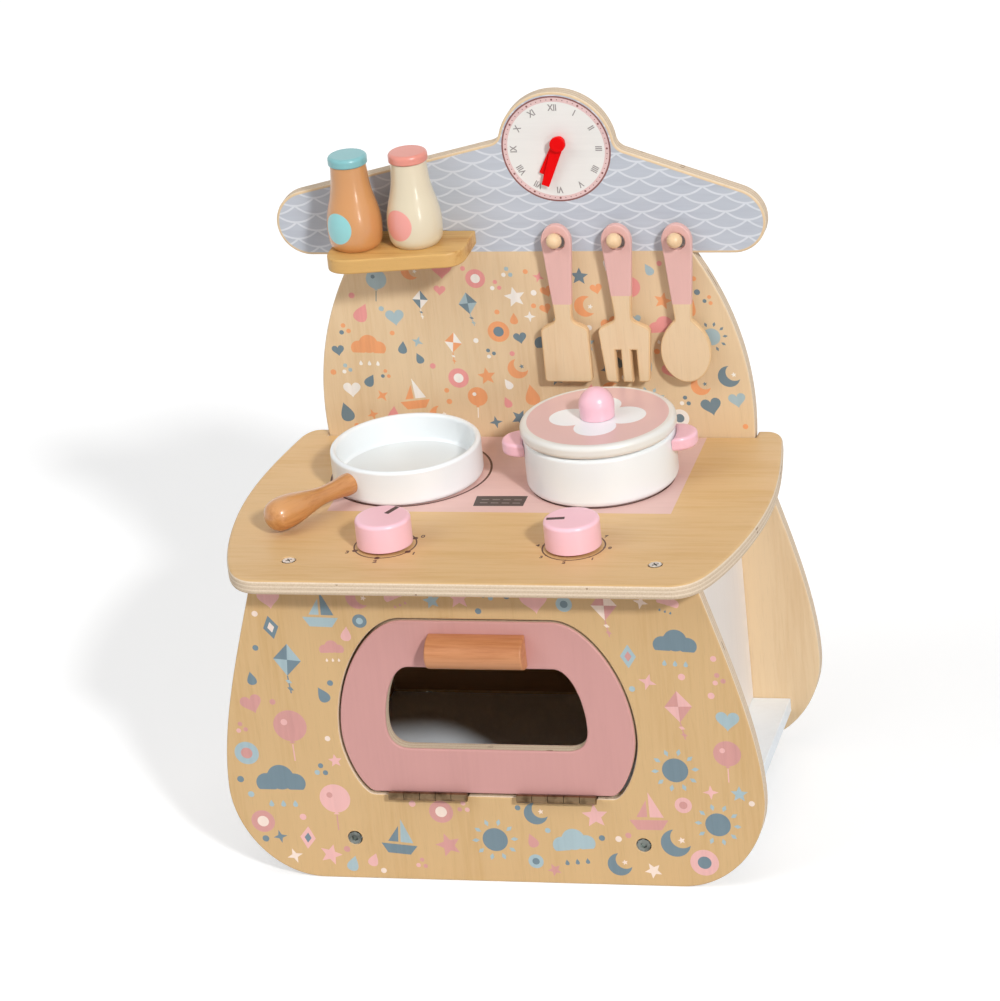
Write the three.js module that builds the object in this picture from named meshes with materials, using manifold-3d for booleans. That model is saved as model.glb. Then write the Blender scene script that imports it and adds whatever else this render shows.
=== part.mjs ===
// A wooden table-top play kitchen with an oven: a free-standing plywood cabinet with a drop-down
// oven door, a hob with two knobs, a pan and a lidded pot, and a tall back board whose hood carries
// a clock, a spice shelf with two shakers, and three utensils on pegs.
// Millimetres, +Z up, the front faces -Y. The origin is the middle of the footprint, on the table.

import * as THREE from 'three';
import { mergeVertices } from 'three/addons/utils/BufferGeometryUtils.js';
import Module from 'manifold-3d';

const wasm = await Module();
wasm.setup();

// Fits shared by all pieces
const FIT = 0.3; // gap between two pieces that rest on, or fill, one another
const OVERRUN = 2; // how far a cutting solid reaches past what it cuts
const RUNNING_FIT = 0.4; // gap round a shaft or pin that turns in its hole

// Steps of the facets
const CURVE_STEPS = 7; // steps along one curve of an outline
const ARC_STEP = 15; // degrees turned by one step along an arc of the hood
const TURN_STEPS = 36; // sides of the pan, the pot and its lid
const ROUND_STEPS = 22; // sides of the knobs and the shakers
const SMALL_STEPS = 12; // sides of the small turned pieces
const SCREW_STEPS = 8; // sides of a screw
const CORNER_STEPS = 3; // steps round the edge of a turned piece
const UTENSIL_STEPS = 4; // steps along one curve of a utensil
const HEX = 6; // sides of a bolt's socket

// Plywood cabinet
const PLY = 10; // all boards of the cabinet, the door and the shelf
const PLY_ROUND = 1.2; // rounding along the edges of the boards
const BODY_HALF = 180; // half the width of the front and back boards, at the belly
const BODY_DEPTH = 195; // clear distance between the front and back boards
const BODY_HEIGHT = 219.5; // table to the underside of the counter
// Right side of a front or back board: shares of the half width and of the body height
const bodySideShares = [
  [0.667, 0],
  [[0.863, 0], [1, 0.156], [1, 0.301]],
  [[1, 0.511], [0.901, 0.753], [0.814, 1]],
];
const SIDE_INSET = 48; // belly of the front board to the outer face of a side board
const FLOOR_INSET = 22.5; // belly of the front board to the end of the floor board
const FLOOR_TOP = 35; // table to the top of the floor board
const PANEL_ROUND = 0.8; // rounding along the painted inner boards

// Countertop
const COUNTER_PLY = 10;
const COUNTER_ROUND = 2.4;
const COUNTER_INSET = 2.5; // belly of the front board to the widest point of the counter
const COUNTER_HALF = BODY_HALF - COUNTER_INSET;
const COUNTER_OVERHANG = 27.5; // past the face of the front board
// Right side of the counter: shares of its half width and of its depth from the front edge
const counterSideShares = [
  [0.755, 0],
  [[0.822, 0], [0.862, 0.031], [0.89, 0.0804]],
  [[0.952, 0.189], [1, 0.381], [1, 0.546]],
  [[1, 0.691], [0.97, 0.823], [0.945, 0.93]],
  [[0.937, 0.971], [0.912, 1], [0.87, 1]],
];

// Back board above the counter, with its hood and clock
const SPLASH_HEIGHT = 141.5; // underside of the counter to the underside of the hood
const HOOD_BOTTOM = BODY_HEIGHT + SPLASH_HEIGHT;
// Right side of the splashback: shares of the body's half width and of the rise to the hood
const splashSideShares = [[[0.844, 0.272], [0.822, 0.64], [0.644, 1]]];
const HOOD_INSET = 13.4; // belly of the back board to an end of the hood
const HOOD_HALF = BODY_HALF - HOOD_INSET;
const HOOD_END_RADIUS = 22.8;
const ROOF_HEIGHT = 88.5; // underside of the hood to the point where its two slopes would meet
const ROOF_APEX = HOOD_BOTTOM + ROOF_HEIGHT;
const CLOCK_X = 30.5;
const CLOCK_HEIGHT = 73.8; // underside of the hood to the middle of the clock bump
const CLOCK_Z = HOOD_BOTTOM + CLOCK_HEIGHT;
const CLOCK_BUMP_RADIUS = 39.5;
const CLOCK_FILLET = 9;

// Oven door, its opening and its window
const OPENING_HALF = 99.5;
const FRONT_RAIL_HEIGHT = 28.5; // top of the opening to the underside of the counter
const OPENING_TOP = BODY_HEIGHT - FRONT_RAIL_HEIGHT;
const DOOR_GAP = 1.5; // gap round the sides and top of the door
const HINGE_HEIGHT = 64; // table to the hinge axis, the middle of the gap under the door
const HINGE_SEAM = 2; // gap under the door, which holds the hinge leaves
// Right side of the opening and of the door: shares of the half width and of the height
const doorSideShares = [
  [0.804, 0],
  [[0.884, 0], [1, 0.195], [1, 0.352]],
  [[1, 0.68], [0.744, 1], [0.5025, 1]],
];
const WINDOW_HALF = 67;
const DOOR_FOOT_HEIGHT = 32; // underside of the door to its window
const DOOR_HEAD_HEIGHT = 33.5; // window to the top of the door
// Right side of the window: shares of its half width and height
const windowSideShares = [
  [0.776, 0],
  [[0.925, 0], [1, 0.1], [1, 0.29]],
  [[1, 0.593], [0.896, 1], [0.716, 1]],
];

// Bar handle on the door
const BAR_LENGTH = 64.5;
const BAR_HEIGHT = 23;
const BAR_DEPTH = 15;
const BAR_ABOVE_WINDOW = 1.8;
const BAR_ROUND = 1.2;
const BAR_SCREW_SPACING = 40;

// Butt hinges of the door
const HINGE_LENGTH = 53;
const HINGE_SPACING = 86;
const KNUCKLE_RADIUS = 2.9;
const KNUCKLE_COUNT = 5;
const KNUCKLE_GAP = 0.4;
const HINGE_PIN_RADIUS = 1.1;
const LEAF_THICKNESS = 0.7;
const LEAF_REACH = 8; // how far a leaf reaches in from the face of the front board

// Magnet catch behind the top of the door
const STOP_WIDTH = 32;
const STOP_DEPTH = 12;
const STOP_HEIGHT = 24;
const STOP_LAP = 11; // how far the stop reaches down behind the door
const MAGNET_RADIUS = 3;
const MAGNET_LENGTH = 4;
const STRIKE_RADIUS = 3;
const STRIKE_THICKNESS = 1;

// Hob knobs
const KNOB_SPACING = 125;
const KNOB_SETBACK = 57; // front edge of the counter to the knob axes
const KNOB_RADIUS = 18.2;
const KNOB_HEIGHT = 18.5;
const KNOB_ROUND = 2.4;
const KNOB_BORE_DEPTH = 13;
const SPINDLE_RADIUS = 2;
const SPINDLE_HEAD_RADIUS = 4.5;
const SPINDLE_HEAD_HEIGHT = 2.4;
const WASHER_RADIUS = 9;
const WASHER_THICKNESS = 1.4;

// Pan
const PAN_X = -74;
const PAN_BACK_SPACING = 68; // face of the back board to the axis of the pan
const PAN_RADIUS = 50.5;
const PAN_HEIGHT = 25;
const PAN_WALL = 4.2;
const PAN_FLOOR = 6;
const PAN_BASE_ROUND = 3.5;
const PAN_COVE = 5; // round between the inner floor and the inner wall
const PAN_TURN = 235.5; // direction of the handle, degrees from +X
const GRIP_LENGTH = 70;
const GRIP_RADIUS = 11;
const GRIP_HEIGHT = 13; // underside of the pan to the axis of the handle
const GRIP_TENON_RADIUS = 3.2;
// Turned outline of the grip: shares of its length and of its largest radius
const gripShares = [
  [0, 0.66], [0.05, 0.67], [0.17, 0.58], [0.3, 0.53], [0.42, 0.59], [0.55, 0.76], [0.68, 0.93], [0.8, 1],
  [0.89, 0.95], [0.955, 0.76], [0.99, 0.42],
];

// Pot, its ears, lid and lid knob
const POT_X = 59;
const POT_BACK_SPACING = 69; // face of the back board to the axis of the pot
const POT_TURN = 6.5; // turn of the ears, degrees from +X
const POT_RADIUS = 50.3;
const POT_HEIGHT = 35;
const POT_WALL = 5;
const POT_FLOOR = 6;
const POT_BASE_ROUND = 4.5;
const POT_COVE = 4;
const EAR_REACH = 14.5;
const EAR_WIDTH = 27;
const EAR_THICKNESS = 9;
const EAR_ROUND = 2;
const EAR_HEIGHT = 22.5; // underside of the pot to the underside of an ear
const LID_RADIUS = 51.8;
const LID_THICKNESS = 9;
const LID_ROUND = 3;
const LID_STEP_DEPTH = 3;
const LID_KNOB_RADIUS = 11.8;
const LID_KNOB_HEIGHT = 20;
const LID_KNOB_DRAFT = 0.4; // how much narrower the lid knob is at its foot
const LID_SCREW_LENGTH = 18;

// Spice shelf and shakers
const SHELF_INSET = 45.2; // left end of the hood to the left end of the shelf
const SHELF_LEFT = SHELF_INSET - HOOD_HALF;
const SHELF_WIDTH = 91.4;
const SHELF_DEPTH_LEFT = 54;
const SHELF_DEPTH_RIGHT = 44;
const SHELF_CORNER = 17;
const SHELF_HEIGHT = 17.2; // underside of the hood to the top of the shelf
const SHELF_TOP = HOOD_BOTTOM + SHELF_HEIGHT;
const SHELF_ROUND = 1.2;
const SHELF_SCREW_SPACING = 50;
const SHAKER_HEIGHT = 63.8;
const SHAKER_RADIUS = 18.4;
const SHAKER_CAP_HEIGHT = 6.4;
const SHAKER_CAP_RADIUS = 13.1;
const SHAKER_CAP_ROUND = 2.4;
const SHAKER_CAP_FOOT = 1; // rounding along the lower edge of a cap
const SHAKER_SPIGOT_RADIUS = 6;
const SHAKER_SPIGOT_HEIGHT = 3.6;
const SHAKER_SPACING = 39.8;
const SHAKER_INSET = 17; // left end of the shelf to the axis of the left shaker
const SHAKER_FRONT = 26; // face of the back board to the axis of the left shaker
const SHAKER_STEP = 5; // how much nearer to the board the right shaker stands
// Turned outline of a shaker: shares of its body height and of its largest radius
const shakerShares = [
  [0, 0.82], [0.07, 0.95], [0.23, 1], [0.37, 0.97], [0.5, 0.885], [0.62, 0.785], [0.78, 0.695], [1, 0.648],
];

// Pegs and utensils
const PEG_FIRST_X = 26.6;
const PEG_PITCH = 40.6;
const PEG_RISE = 14.5; // underside of the hood to the peg axes
const PEG_HEIGHT = HOOD_BOTTOM + PEG_RISE;
const PEG_RADIUS = 3;
const PEG_BALL_RADIUS = 5.2;
const PEG_REACH = 14; // face of the back board to the middle of the ball
const PEG_SEAT = 8; // depth of the peg in the back board
const UTENSIL_THICKNESS = 5;
const UTENSIL_STANDOFF = 4.6; // face of the back board to the back of a utensil
const UTENSIL_ROUND = 0.8;
const UTENSIL_LENGTH = 112;
const UTENSIL_TOP = 9.3; // peg axis to the top of the handle
const UTENSIL_EYE_RADIUS = 5.9;
const UTENSIL_GRIP_HALF = 10.2;
const UTENSIL_NECK_HALF = 5.8;
const UTENSIL_HEAD_HALF = 16.2;
const UTENSIL_HEAD_HEIGHT = 43;
const UTENSIL_CORNER = 2.5;
const roundShare = 0.55; // how far along its radius the handle of a round curve lies
const FORK_SLOT_WIDTH = 3.8;
const FORK_SLOT_DEPTH = 23;
const FORK_SLOT_SPACING = 10.5;
const FORK_TAPER = 2.8; // how much each side of the fork's head draws in towards its tips

// Clock hands
const CLOCK_PIN_RADIUS = 1.9;
const CLOCK_CAP_RADIUS = 5.2;
const CLOCK_CAP_HEIGHT = 2.6;
const CLOCK_CAP_ROUND = 0.9;
const HAND_THICKNESS = 1.8;
const HAND_ROUND = 0.4;
const HAND_HALF = 4;
const HAND_TIP_HALF = 2.6;
const HOUR_HAND_LENGTH = 25.5;
const MINUTE_HAND_LENGTH = 31.5;
const HOUR_ANGLE = 210; // degrees clockwise from twelve
const MINUTE_ANGLE = 201;
const PIVOT_RIGHT = 2.7; // middle of the clock bump to the axis of the hands, to the right
const PIVOT_UP = 5.2; // and upwards

// Screws and bolts
const BOLT_INSET = 60.2; // end of the floor board to the axis of a bolt
const BOLT_HEAD_RADIUS = 4.6;
const BOLT_HEAD_HEIGHT = 3;
const BOLT_SHANK_RADIUS = 2.2;
const BOLT_LENGTH = 34;
const BOLT_SOCKET_RADIUS = 2.3;
const BOLT_SOCKET_DEPTH = 1.8;
const SCREW_HEAD_RADIUS = 4.2;
const SCREW_HEAD_HEIGHT = 2.6;
const SCREW_SHANK_RADIUS = 1.7;
const SCREW_LENGTH = 30;
const SHORT_SCREW_LENGTH = 18;
const COUNTER_SCREW_INSET = 25.7; // top end of the front board to the axis of a counter screw
const COUNTER_BACK_SCREW_INSET = 56.5; // side of the back board to the axis of a screw into the counter
const SCREW_SINK = 0.2; // depth of a screw head below the face

// Places worked out from the sizes
const BACK_FACE = PLY + BODY_DEPTH; // face of the back board that looks forward
const BACK_SIDE = BACK_FACE + PLY;
const COUNTER_TOP = BODY_HEIGHT + COUNTER_PLY;
const NECK_HALF = BODY_HALF * bodySideShares.at(-1).at(-1)[0];
const DOOR_BOTTOM = HINGE_HEIGHT + HINGE_SEAM / 2;
const OPENING_BOTTOM = HINGE_HEIGHT - HINGE_SEAM / 2;
const DOOR_TOP = OPENING_TOP - DOOR_GAP;
const WINDOW_BOTTOM = DOOR_BOTTOM + DOOR_FOOT_HEIGHT;
const WINDOW_HEIGHT = DOOR_TOP - DOOR_HEAD_HEIGHT - WINDOW_BOTTOM;
const BAR_Z = WINDOW_BOTTOM + WINDOW_HEIGHT + BAR_ABOVE_WINDOW + BAR_HEIGHT / 2;
const HINGE_Y = -KNUCKLE_RADIUS - RUNNING_FIT;
const STRIKE_Z = DOOR_TOP - STOP_LAP / 2;
const FLOOR_MID = FLOOR_TOP - PLY / 2;
const FLOOR_HALF = BODY_HALF - FLOOR_INSET;
const KNOB_Y = KNOB_SETBACK - COUNTER_OVERHANG;
const PAN_Y = BACK_FACE - PAN_BACK_SPACING;
const POT_Y = BACK_FACE - POT_BACK_SPACING;
const KNOB_LIFT = WASHER_THICKNESS + 2 * FIT;
const SHELF_MID_X = SHELF_LEFT + SHELF_WIDTH / 2;
const PIVOT_X = CLOCK_X + PIVOT_RIGHT;
const PIVOT_Z = CLOCK_Z + PIVOT_UP;
const EYE_DROP = UTENSIL_EYE_RADIUS - PEG_RADIUS - FIT; // peg axis to the middle of the hanging hole

// Materials
function finish(color, roughness, metalness = 0) {
  return new THREE.MeshStandardMaterial({ color, roughness, metalness });
}

const BIRCH = finish(0xdcb47c, 0.5);
const BEECH = finish(0xd99a63, 0.5);
const TURNED_BEECH = finish(0xcd915a, 0.4);
const PALE_WOOD = finish(0xf0cda0, 0.55);
const WHITE_PAINT = finish(0xe6e2dc, 0.45);
const POT_WHITE = finish(0xf3f0ea, 0.35);
const DOOR_PINK = finish(0xd09b94, 0.5);
const KNOB_PINK = finish(0xf9c4cc, 0.4);
const SALMON = finish(0xef9f95, 0.4);
const TURQUOISE = finish(0x86c9c9, 0.4);
const CREAM = finish(0xeadfc2, 0.4);
const CLOCK_RED = finish(0xe00000, 0.4);
const BRASS = finish(0x8a7350, 0.4, 0.9);
const STEEL = finish(0xc9c9c6, 0.3, 1);
const DARK_STEEL = finish(0x4a4a4a, 0.4, 1);

// Geometry helpers

function closed(geometry) {
  const bare = geometry.clone();
  bare.deleteAttribute('normal');
  bare.deleteAttribute('uv');
  const merged = mergeVertices(bare);
  const index = merged.index.array;
  const kept = [];
  for (let i = 0; i < index.length; i += 3) {
    const [a, b, c] = [index[i], index[i + 1], index[i + 2]];
    if (a !== b && b !== c && c !== a) kept.push(a, b, c);
  }
  merged.setIndex(kept);
  merged.computeVertexNormals();
  return merged;
}

function solidOf(geometry) {
  const clean = closed(geometry);
  const vertProperties = Float32Array.from(clean.attributes.position.array);
  const triVerts = Uint32Array.from(clean.index.array);
  return new wasm.Manifold(new wasm.Mesh({ numProp: 3, vertProperties, triVerts }));
}

function geometryOf(solid) {
  const mesh = solid.getMesh();
  const geometry = new THREE.BufferGeometry();
  geometry.setAttribute('position', new THREE.BufferAttribute(mesh.vertProperties, 3));
  geometry.setIndex(new THREE.BufferAttribute(mesh.triVerts, 1));
  geometry.computeVertexNormals();
  return geometry;
}

function carve(geometry, cutters) {
  return geometryOf(cutters.reduce((solid, cutter) => solid.subtract(solidOf(cutter)), solidOf(geometry)));
}

function fuse(geometries) {
  return geometryOf(geometries.map(solidOf).reduce((whole, solid) => whole.add(solid)));
}

// A turned solid about +Z, from pairs of radius and height
function turned(profile, steps) {
  const points = profile.map(([radius, height]) => new THREE.Vector2(radius, height));
  return new THREE.LatheGeometry(points, steps).rotateX(Math.PI / 2);
}

function rod(radius, length, steps) {
  return turned([[0, 0], [radius, 0], [radius, length], [0, length]], steps);
}

// Points of a round corner in a turned profile, between two angles in degrees
function corner(centreRadius, centreHeight, radius, from, to, steps = CORNER_STEPS) {
  return Array.from({ length: steps + 1 }, (_, i) => {
    const angle = THREE.MathUtils.degToRad(from + ((to - from) * i) / steps);
    return [centreRadius + radius * Math.cos(angle), centreHeight + radius * Math.sin(angle)];
  });
}

const towardsBack = (geometry) => geometry.rotateX(-Math.PI / 2);
const towardsFront = (geometry) => geometry.rotateX(Math.PI / 2);
const downwards = (geometry) => geometry.rotateX(Math.PI);
const alongX = (geometry) => geometry.rotateY(Math.PI / 2);

function block(x0, x1, y0, y1, z0, z1) {
  const box = new THREE.BoxGeometry(x1 - x0, y1 - y0, z1 - z0);
  return box.translate((x0 + x1) / 2, (y0 + y1) / 2, (z0 + z1) / 2);
}

// A board lying flat, cut from an outline, with its edges rounded
function board(outline, thickness, round, curveSegments = CURVE_STEPS, bevelSegments = 1) {
  const geometry = new THREE.ExtrudeGeometry(outline, {
    depth: thickness - 2 * round,
    bevelEnabled: true,
    bevelThickness: round,
    bevelSize: round,
    bevelOffset: -round,
    bevelSegments,
    curveSegments,
  });
  return geometry.translate(0, 0, round);
}

// The same board standing up, its outline in X and Z, its front face at frontY
function standing(outline, thickness, frontY, round, curveSegments, bevelSegments) {
  const geometry = board(outline, thickness, round, curveSegments, bevelSegments);
  return towardsFront(geometry).translate(0, frontY + thickness, 0);
}

// Draws one side of an outline upwards from its first point; an entry is a line's end or a curve
function climb(path, chain, side) {
  for (const step of chain.slice(1)) {
    if (Array.isArray(step[0])) {
      const [a, b, c] = step;
      path.bezierCurveTo(side * a[0], a[1], side * b[0], b[1], side * c[0], c[1]);
    } else {
      path.lineTo(side * step[0], step[1]);
    }
  }
}

// Draws the same side downwards, from its last point to its first
function descend(path, chain, side) {
  const endOf = (step) => (Array.isArray(step[0]) ? step[2] : step);
  for (let i = chain.length - 1; i > 0; i--) {
    const [x, y] = endOf(chain[i - 1]);
    if (Array.isArray(chain[i][0])) {
      const [a, b] = chain[i];
      path.bezierCurveTo(side * b[0], b[1], side * a[0], a[1], side * x, y);
    } else {
      path.lineTo(side * x, y);
    }
  }
}

// A closed outline that is the same on both sides of x = 0; across() may shape its far edge
function mirrored(path, chain, across = () => {}) {
  const last = chain.at(-1);
  const end = Array.isArray(last[0]) ? last[2] : last;
  path.moveTo(-chain[0][0], chain[0][1]);
  path.lineTo(chain[0][0], chain[0][1]);
  climb(path, chain, 1);
  across(path);
  path.lineTo(-end[0], end[1]);
  descend(path, chain, -1);
  return path;
}

// A round hole in an outline, its middle on x = 0
function roundHole(height, radius) {
  return new THREE.Path(Array.from({ length: SMALL_STEPS }, (_, i) => {
    const angle = (2 * Math.PI * i) / SMALL_STEPS;
    return new THREE.Vector2(radius * Math.cos(angle), height + radius * Math.sin(angle));
  }));
}

// Turns shares into real places: half width, and height above a base
function scaled(shares, half, base, height) {
  const place = ([x, y]) => [x * half, base + y * height];
  return shares.map((step) => (Array.isArray(step[0]) ? step.map(place) : place(step)));
}

function piece(name, geometry, material) {
  const mesh = new THREE.Mesh(closed(geometry), material);
  mesh.name = name;
  return mesh;
}

// Screws, bolts and their holes

// A countersunk screw along +Z, its head's face at z = 0
function screw(headRadius, headHeight, shankRadius, length) {
  const tip = length - 2 * shankRadius;
  const profile = [
    [0, 0], [headRadius, 0], [shankRadius, headHeight], [shankRadius, tip], [0, length],
  ];
  return turned(profile, SCREW_STEPS);
}

// The hole that such a screw stands in, open at the face
function screwHole(headRadius, headHeight, shankRadius, length) {
  const wide = headRadius + FIT;
  const narrow = shankRadius + FIT;
  const mouth = -SCREW_SINK - OVERRUN;
  const end = length + FIT;
  const profile = [
    [0, mouth], [wide, mouth], [wide, 0], [narrow, headHeight + FIT], [narrow, end], [0, end],
  ];
  return turned(profile, SCREW_STEPS);
}

const WOOD_SCREW = [SCREW_HEAD_RADIUS, SCREW_HEAD_HEIGHT, SCREW_SHANK_RADIUS, SCREW_LENGTH];
const SHORT_SCREW = [SCREW_HEAD_RADIUS, SCREW_HEAD_HEIGHT, SCREW_SHANK_RADIUS, SHORT_SCREW_LENGTH];
const FRAME_BOLT = [BOLT_HEAD_RADIUS, BOLT_HEAD_HEIGHT, BOLT_SHANK_RADIUS, BOLT_LENGTH];

// Every screw of the toy: what it is, where its head's face lies and which way it points
const screws = {};
for (const [side, sign] of [['left', -1], ['right', 1]]) {
  const boltX = sign * (FLOOR_HALF - BOLT_INSET);
  const counterX = sign * (NECK_HALF - COUNTER_SCREW_INSET);
  const backX = sign * (NECK_HALF - COUNTER_BACK_SCREW_INSET);
  const shelfX = SHELF_MID_X + (sign * SHELF_SCREW_SPACING) / 2;
  const barX = (sign * BAR_SCREW_SPACING) / 2;
  screws[`front_bolt_${side}`] = { size: FRAME_BOLT, at: [boltX, SCREW_SINK, FLOOR_MID], turn: towardsBack };
  screws[`back_bolt_${side}`] = {
    size: FRAME_BOLT, at: [boltX, BACK_SIDE - SCREW_SINK, FLOOR_MID], turn: towardsFront,
  };
  screws[`counter_screw_${side}`] = {
    size: WOOD_SCREW, at: [counterX, PLY / 2, COUNTER_TOP - SCREW_SINK], turn: downwards,
  };
  screws[`counter_back_screw_${side}`] = {
    size: WOOD_SCREW, at: [backX, BACK_SIDE - SCREW_SINK, BODY_HEIGHT + COUNTER_PLY / 2], turn: towardsFront,
  };
  screws[`shelf_screw_${side}`] = {
    size: WOOD_SCREW, at: [shelfX, BACK_SIDE - SCREW_SINK, SHELF_TOP - PLY / 2], turn: towardsFront,
  };
  screws[`handle_screw_${side}`] = {
    size: SHORT_SCREW, at: [barX, PLY - SCREW_SINK, BAR_Z], turn: towardsFront,
  };
}

function screwPiece(name, material) {
  const { size, at, turn } = screws[name];
  return piece(name, turn(screw(...size)).translate(...at), material);
}

function boltPiece(name) {
  const { size, at, turn } = screws[name];
  const socket = rod(BOLT_SOCKET_RADIUS, BOLT_SOCKET_DEPTH + OVERRUN, HEX).translate(0, 0, -OVERRUN);
  return piece(name, turn(carve(screw(...size), [socket])).translate(...at), DARK_STEEL);
}

function holesFor(...names) {
  return names.flatMap((name) => ['left', 'right'].map((side) => {
    const { size, at, turn } = screws[`${name}_${side}`];
    return turn(screwHole(...size)).translate(...at);
  }));
}

// Cabinet boards

const bodySide = scaled(bodySideShares, BODY_HALF, 0, BODY_HEIGHT);

function frontPanel() {
  const height = BODY_HEIGHT - FIT;
  const outline = mirrored(new THREE.Shape(), scaled(bodySideShares, BODY_HALF, 0, height));
  const opening = scaled(doorSideShares, OPENING_HALF, OPENING_BOTTOM, OPENING_TOP - OPENING_BOTTOM);
  outline.holes.push(mirrored(new THREE.Path(), opening));
  const geometry = standing(outline, PLY, 0, PLY_ROUND);
  return piece('front_panel', carve(geometry, holesFor('front_bolt', 'counter_screw')), BIRCH);
}

// The roof line on one side: where it leaves the rounded end, its fillet and the clock bump
function roofLine(side) {
  const apex = new THREE.Vector2(CLOCK_X, ROOF_APEX);
  const end = new THREE.Vector2(side * (HOOD_HALF - HOOD_END_RADIUS), HOOD_BOTTOM + HOOD_END_RADIUS);
  const bump = new THREE.Vector2(CLOCK_X, CLOCK_Z);
  const reach = apex.distanceTo(end);
  const dip = Math.asin(HOOD_END_RADIUS / reach);
  const straight = Math.atan2(end.y - apex.y, side * (end.x - apex.x));
  const slope = straight + dip; // angle of the roof line below the level, seen from the apex
  const down = new THREE.Vector2(side * Math.cos(slope), Math.sin(slope));
  const out = new THREE.Vector2(-side * Math.sin(slope), Math.cos(slope));
  const lift = apex.clone().addScaledVector(out, CLOCK_FILLET).sub(bump);
  const along = lift.dot(down);
  const span = (CLOCK_BUMP_RADIUS + CLOCK_FILLET) ** 2 - lift.lengthSq() + along ** 2;
  const fillet = apex.clone().addScaledVector(out, CLOCK_FILLET);
  fillet.addScaledVector(down, Math.sqrt(span) - along);
  return { end, fillet, bump, out };
}

// Draws an arc in short lines, from one angle to another
function sweepArc(path, centre, radius, from, to, clockwise) {
  const turn = clockwise ? -1 : 1;
  const sweep = THREE.MathUtils.euclideanModulo((to - from) * turn, 2 * Math.PI);
  const count = Math.ceil(THREE.MathUtils.radToDeg(sweep) / ARC_STEP);
  for (let i = 0; i <= count; i++) {
    const angle = from + (turn * sweep * i) / count;
    path.lineTo(centre.x + radius * Math.cos(angle), centre.y + radius * Math.sin(angle));
  }
}

// The hood above the splashback: rounded ends, sloping roof and a round bump behind the clock
function hoodOutline(path) {
  const right = roofLine(1);
  const left = roofLine(-1);
  const angleOf = (vector) => Math.atan2(vector.y, vector.x);
  const between = (from, to) => angleOf(to.clone().sub(from));
  const roofRight = angleOf(right.out.clone().negate());
  const roofLeft = angleOf(left.out.clone().negate());
  const bumpFrom = between(right.bump, right.fillet);
  const bumpTo = between(left.bump, left.fillet);
  sweepArc(path, right.end, HOOD_END_RADIUS, -Math.PI / 2, angleOf(right.out), false);
  sweepArc(path, right.fillet, CLOCK_FILLET, roofRight, between(right.fillet, right.bump), true);
  sweepArc(path, right.bump, CLOCK_BUMP_RADIUS, bumpFrom, bumpTo, false);
  sweepArc(path, left.fillet, CLOCK_FILLET, between(left.fillet, left.bump), roofLeft, true);
  sweepArc(path, left.end, HOOD_END_RADIUS, angleOf(left.out), -Math.PI / 2, false);
}

function backPanel() {
  const rise = HOOD_BOTTOM - BODY_HEIGHT;
  const chain = [...bodySide, ...scaled(splashSideShares, BODY_HALF, BODY_HEIGHT, rise)];
  const outline = mirrored(new THREE.Shape(), chain, hoodOutline);
  const geometry = standing(outline, PLY, BACK_FACE, PLY_ROUND);
  const pegSeats = pegPlaces().map((x) => {
    const seat = rod(PEG_RADIUS + FIT / 2, PEG_SEAT + FIT + OVERRUN, SMALL_STEPS);
    return towardsBack(seat).translate(x, BACK_FACE - OVERRUN, PEG_HEIGHT);
  });
  const pinBore = rod(CLOCK_PIN_RADIUS + FIT, PLY + 2 * OVERRUN, SCREW_STEPS);
  const clockBore = towardsBack(pinBore).translate(PIVOT_X, BACK_FACE - OVERRUN, PIVOT_Z);
  const holes = holesFor('back_bolt', 'counter_back_screw', 'shelf_screw');
  return piece('back_panel', carve(geometry, [...pegSeats, clockBore, ...holes]), BIRCH);
}

function sidePanel(name, side) {
  const outer = BODY_HALF - SIDE_INSET;
  const depth = BODY_DEPTH - 2 * FIT;
  const height = BODY_HEIGHT - FLOOR_TOP - 2 * FIT;
  const outline = new THREE.Shape();
  outline.moveTo(0, 0);
  outline.lineTo(depth, 0);
  outline.lineTo(depth, height);
  outline.lineTo(0, height);
  const geometry = towardsFront(board(outline, PLY, PANEL_ROUND)).rotateZ(Math.PI / 2);
  const mesh = piece(name, geometry, WHITE_PAINT);
  mesh.position.set(side > 0 ? outer - PLY : -outer, PLY + FIT, FLOOR_TOP + FIT);
  return mesh;
}

function floorPanel() {
  const outline = new THREE.Shape();
  outline.moveTo(-FLOOR_HALF, PLY + FIT);
  outline.lineTo(FLOOR_HALF, PLY + FIT);
  outline.lineTo(FLOOR_HALF, BACK_FACE - FIT);
  outline.lineTo(-FLOOR_HALF, BACK_FACE - FIT);
  const geometry = board(outline, PLY, PANEL_ROUND).translate(0, 0, FLOOR_TOP - PLY);
  return piece('floor_panel', carve(geometry, holesFor('front_bolt', 'back_bolt')), WHITE_PAINT);
}

function countertop() {
  const depth = COUNTER_OVERHANG + BACK_SIDE;
  const notch = NECK_HALF + FIT + PLY_ROUND;
  const chain = scaled(counterSideShares, COUNTER_HALF, -COUNTER_OVERHANG, depth);
  const outline = mirrored(new THREE.Shape(), chain, (path) => {
    path.lineTo(notch, BACK_SIDE);
    path.lineTo(notch, BACK_FACE - FIT);
    path.lineTo(-notch, BACK_FACE - FIT);
    path.lineTo(-notch, BACK_SIDE);
  });
  const geometry = board(outline, COUNTER_PLY, COUNTER_ROUND, CURVE_STEPS, 2).translate(0, 0, BODY_HEIGHT);
  const bores = knobPlaces().map(({ x }) => {
    const bore = rod(SPINDLE_RADIUS + RUNNING_FIT, COUNTER_PLY + 2 * OVERRUN, SCREW_STEPS);
    return bore.translate(x, KNOB_Y, BODY_HEIGHT - OVERRUN);
  });
  const holes = holesFor('counter_screw', 'counter_back_screw');
  return piece('countertop', carve(geometry, [...bores, ...holes]), BIRCH);
}

// Oven door, handle and catch

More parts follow.
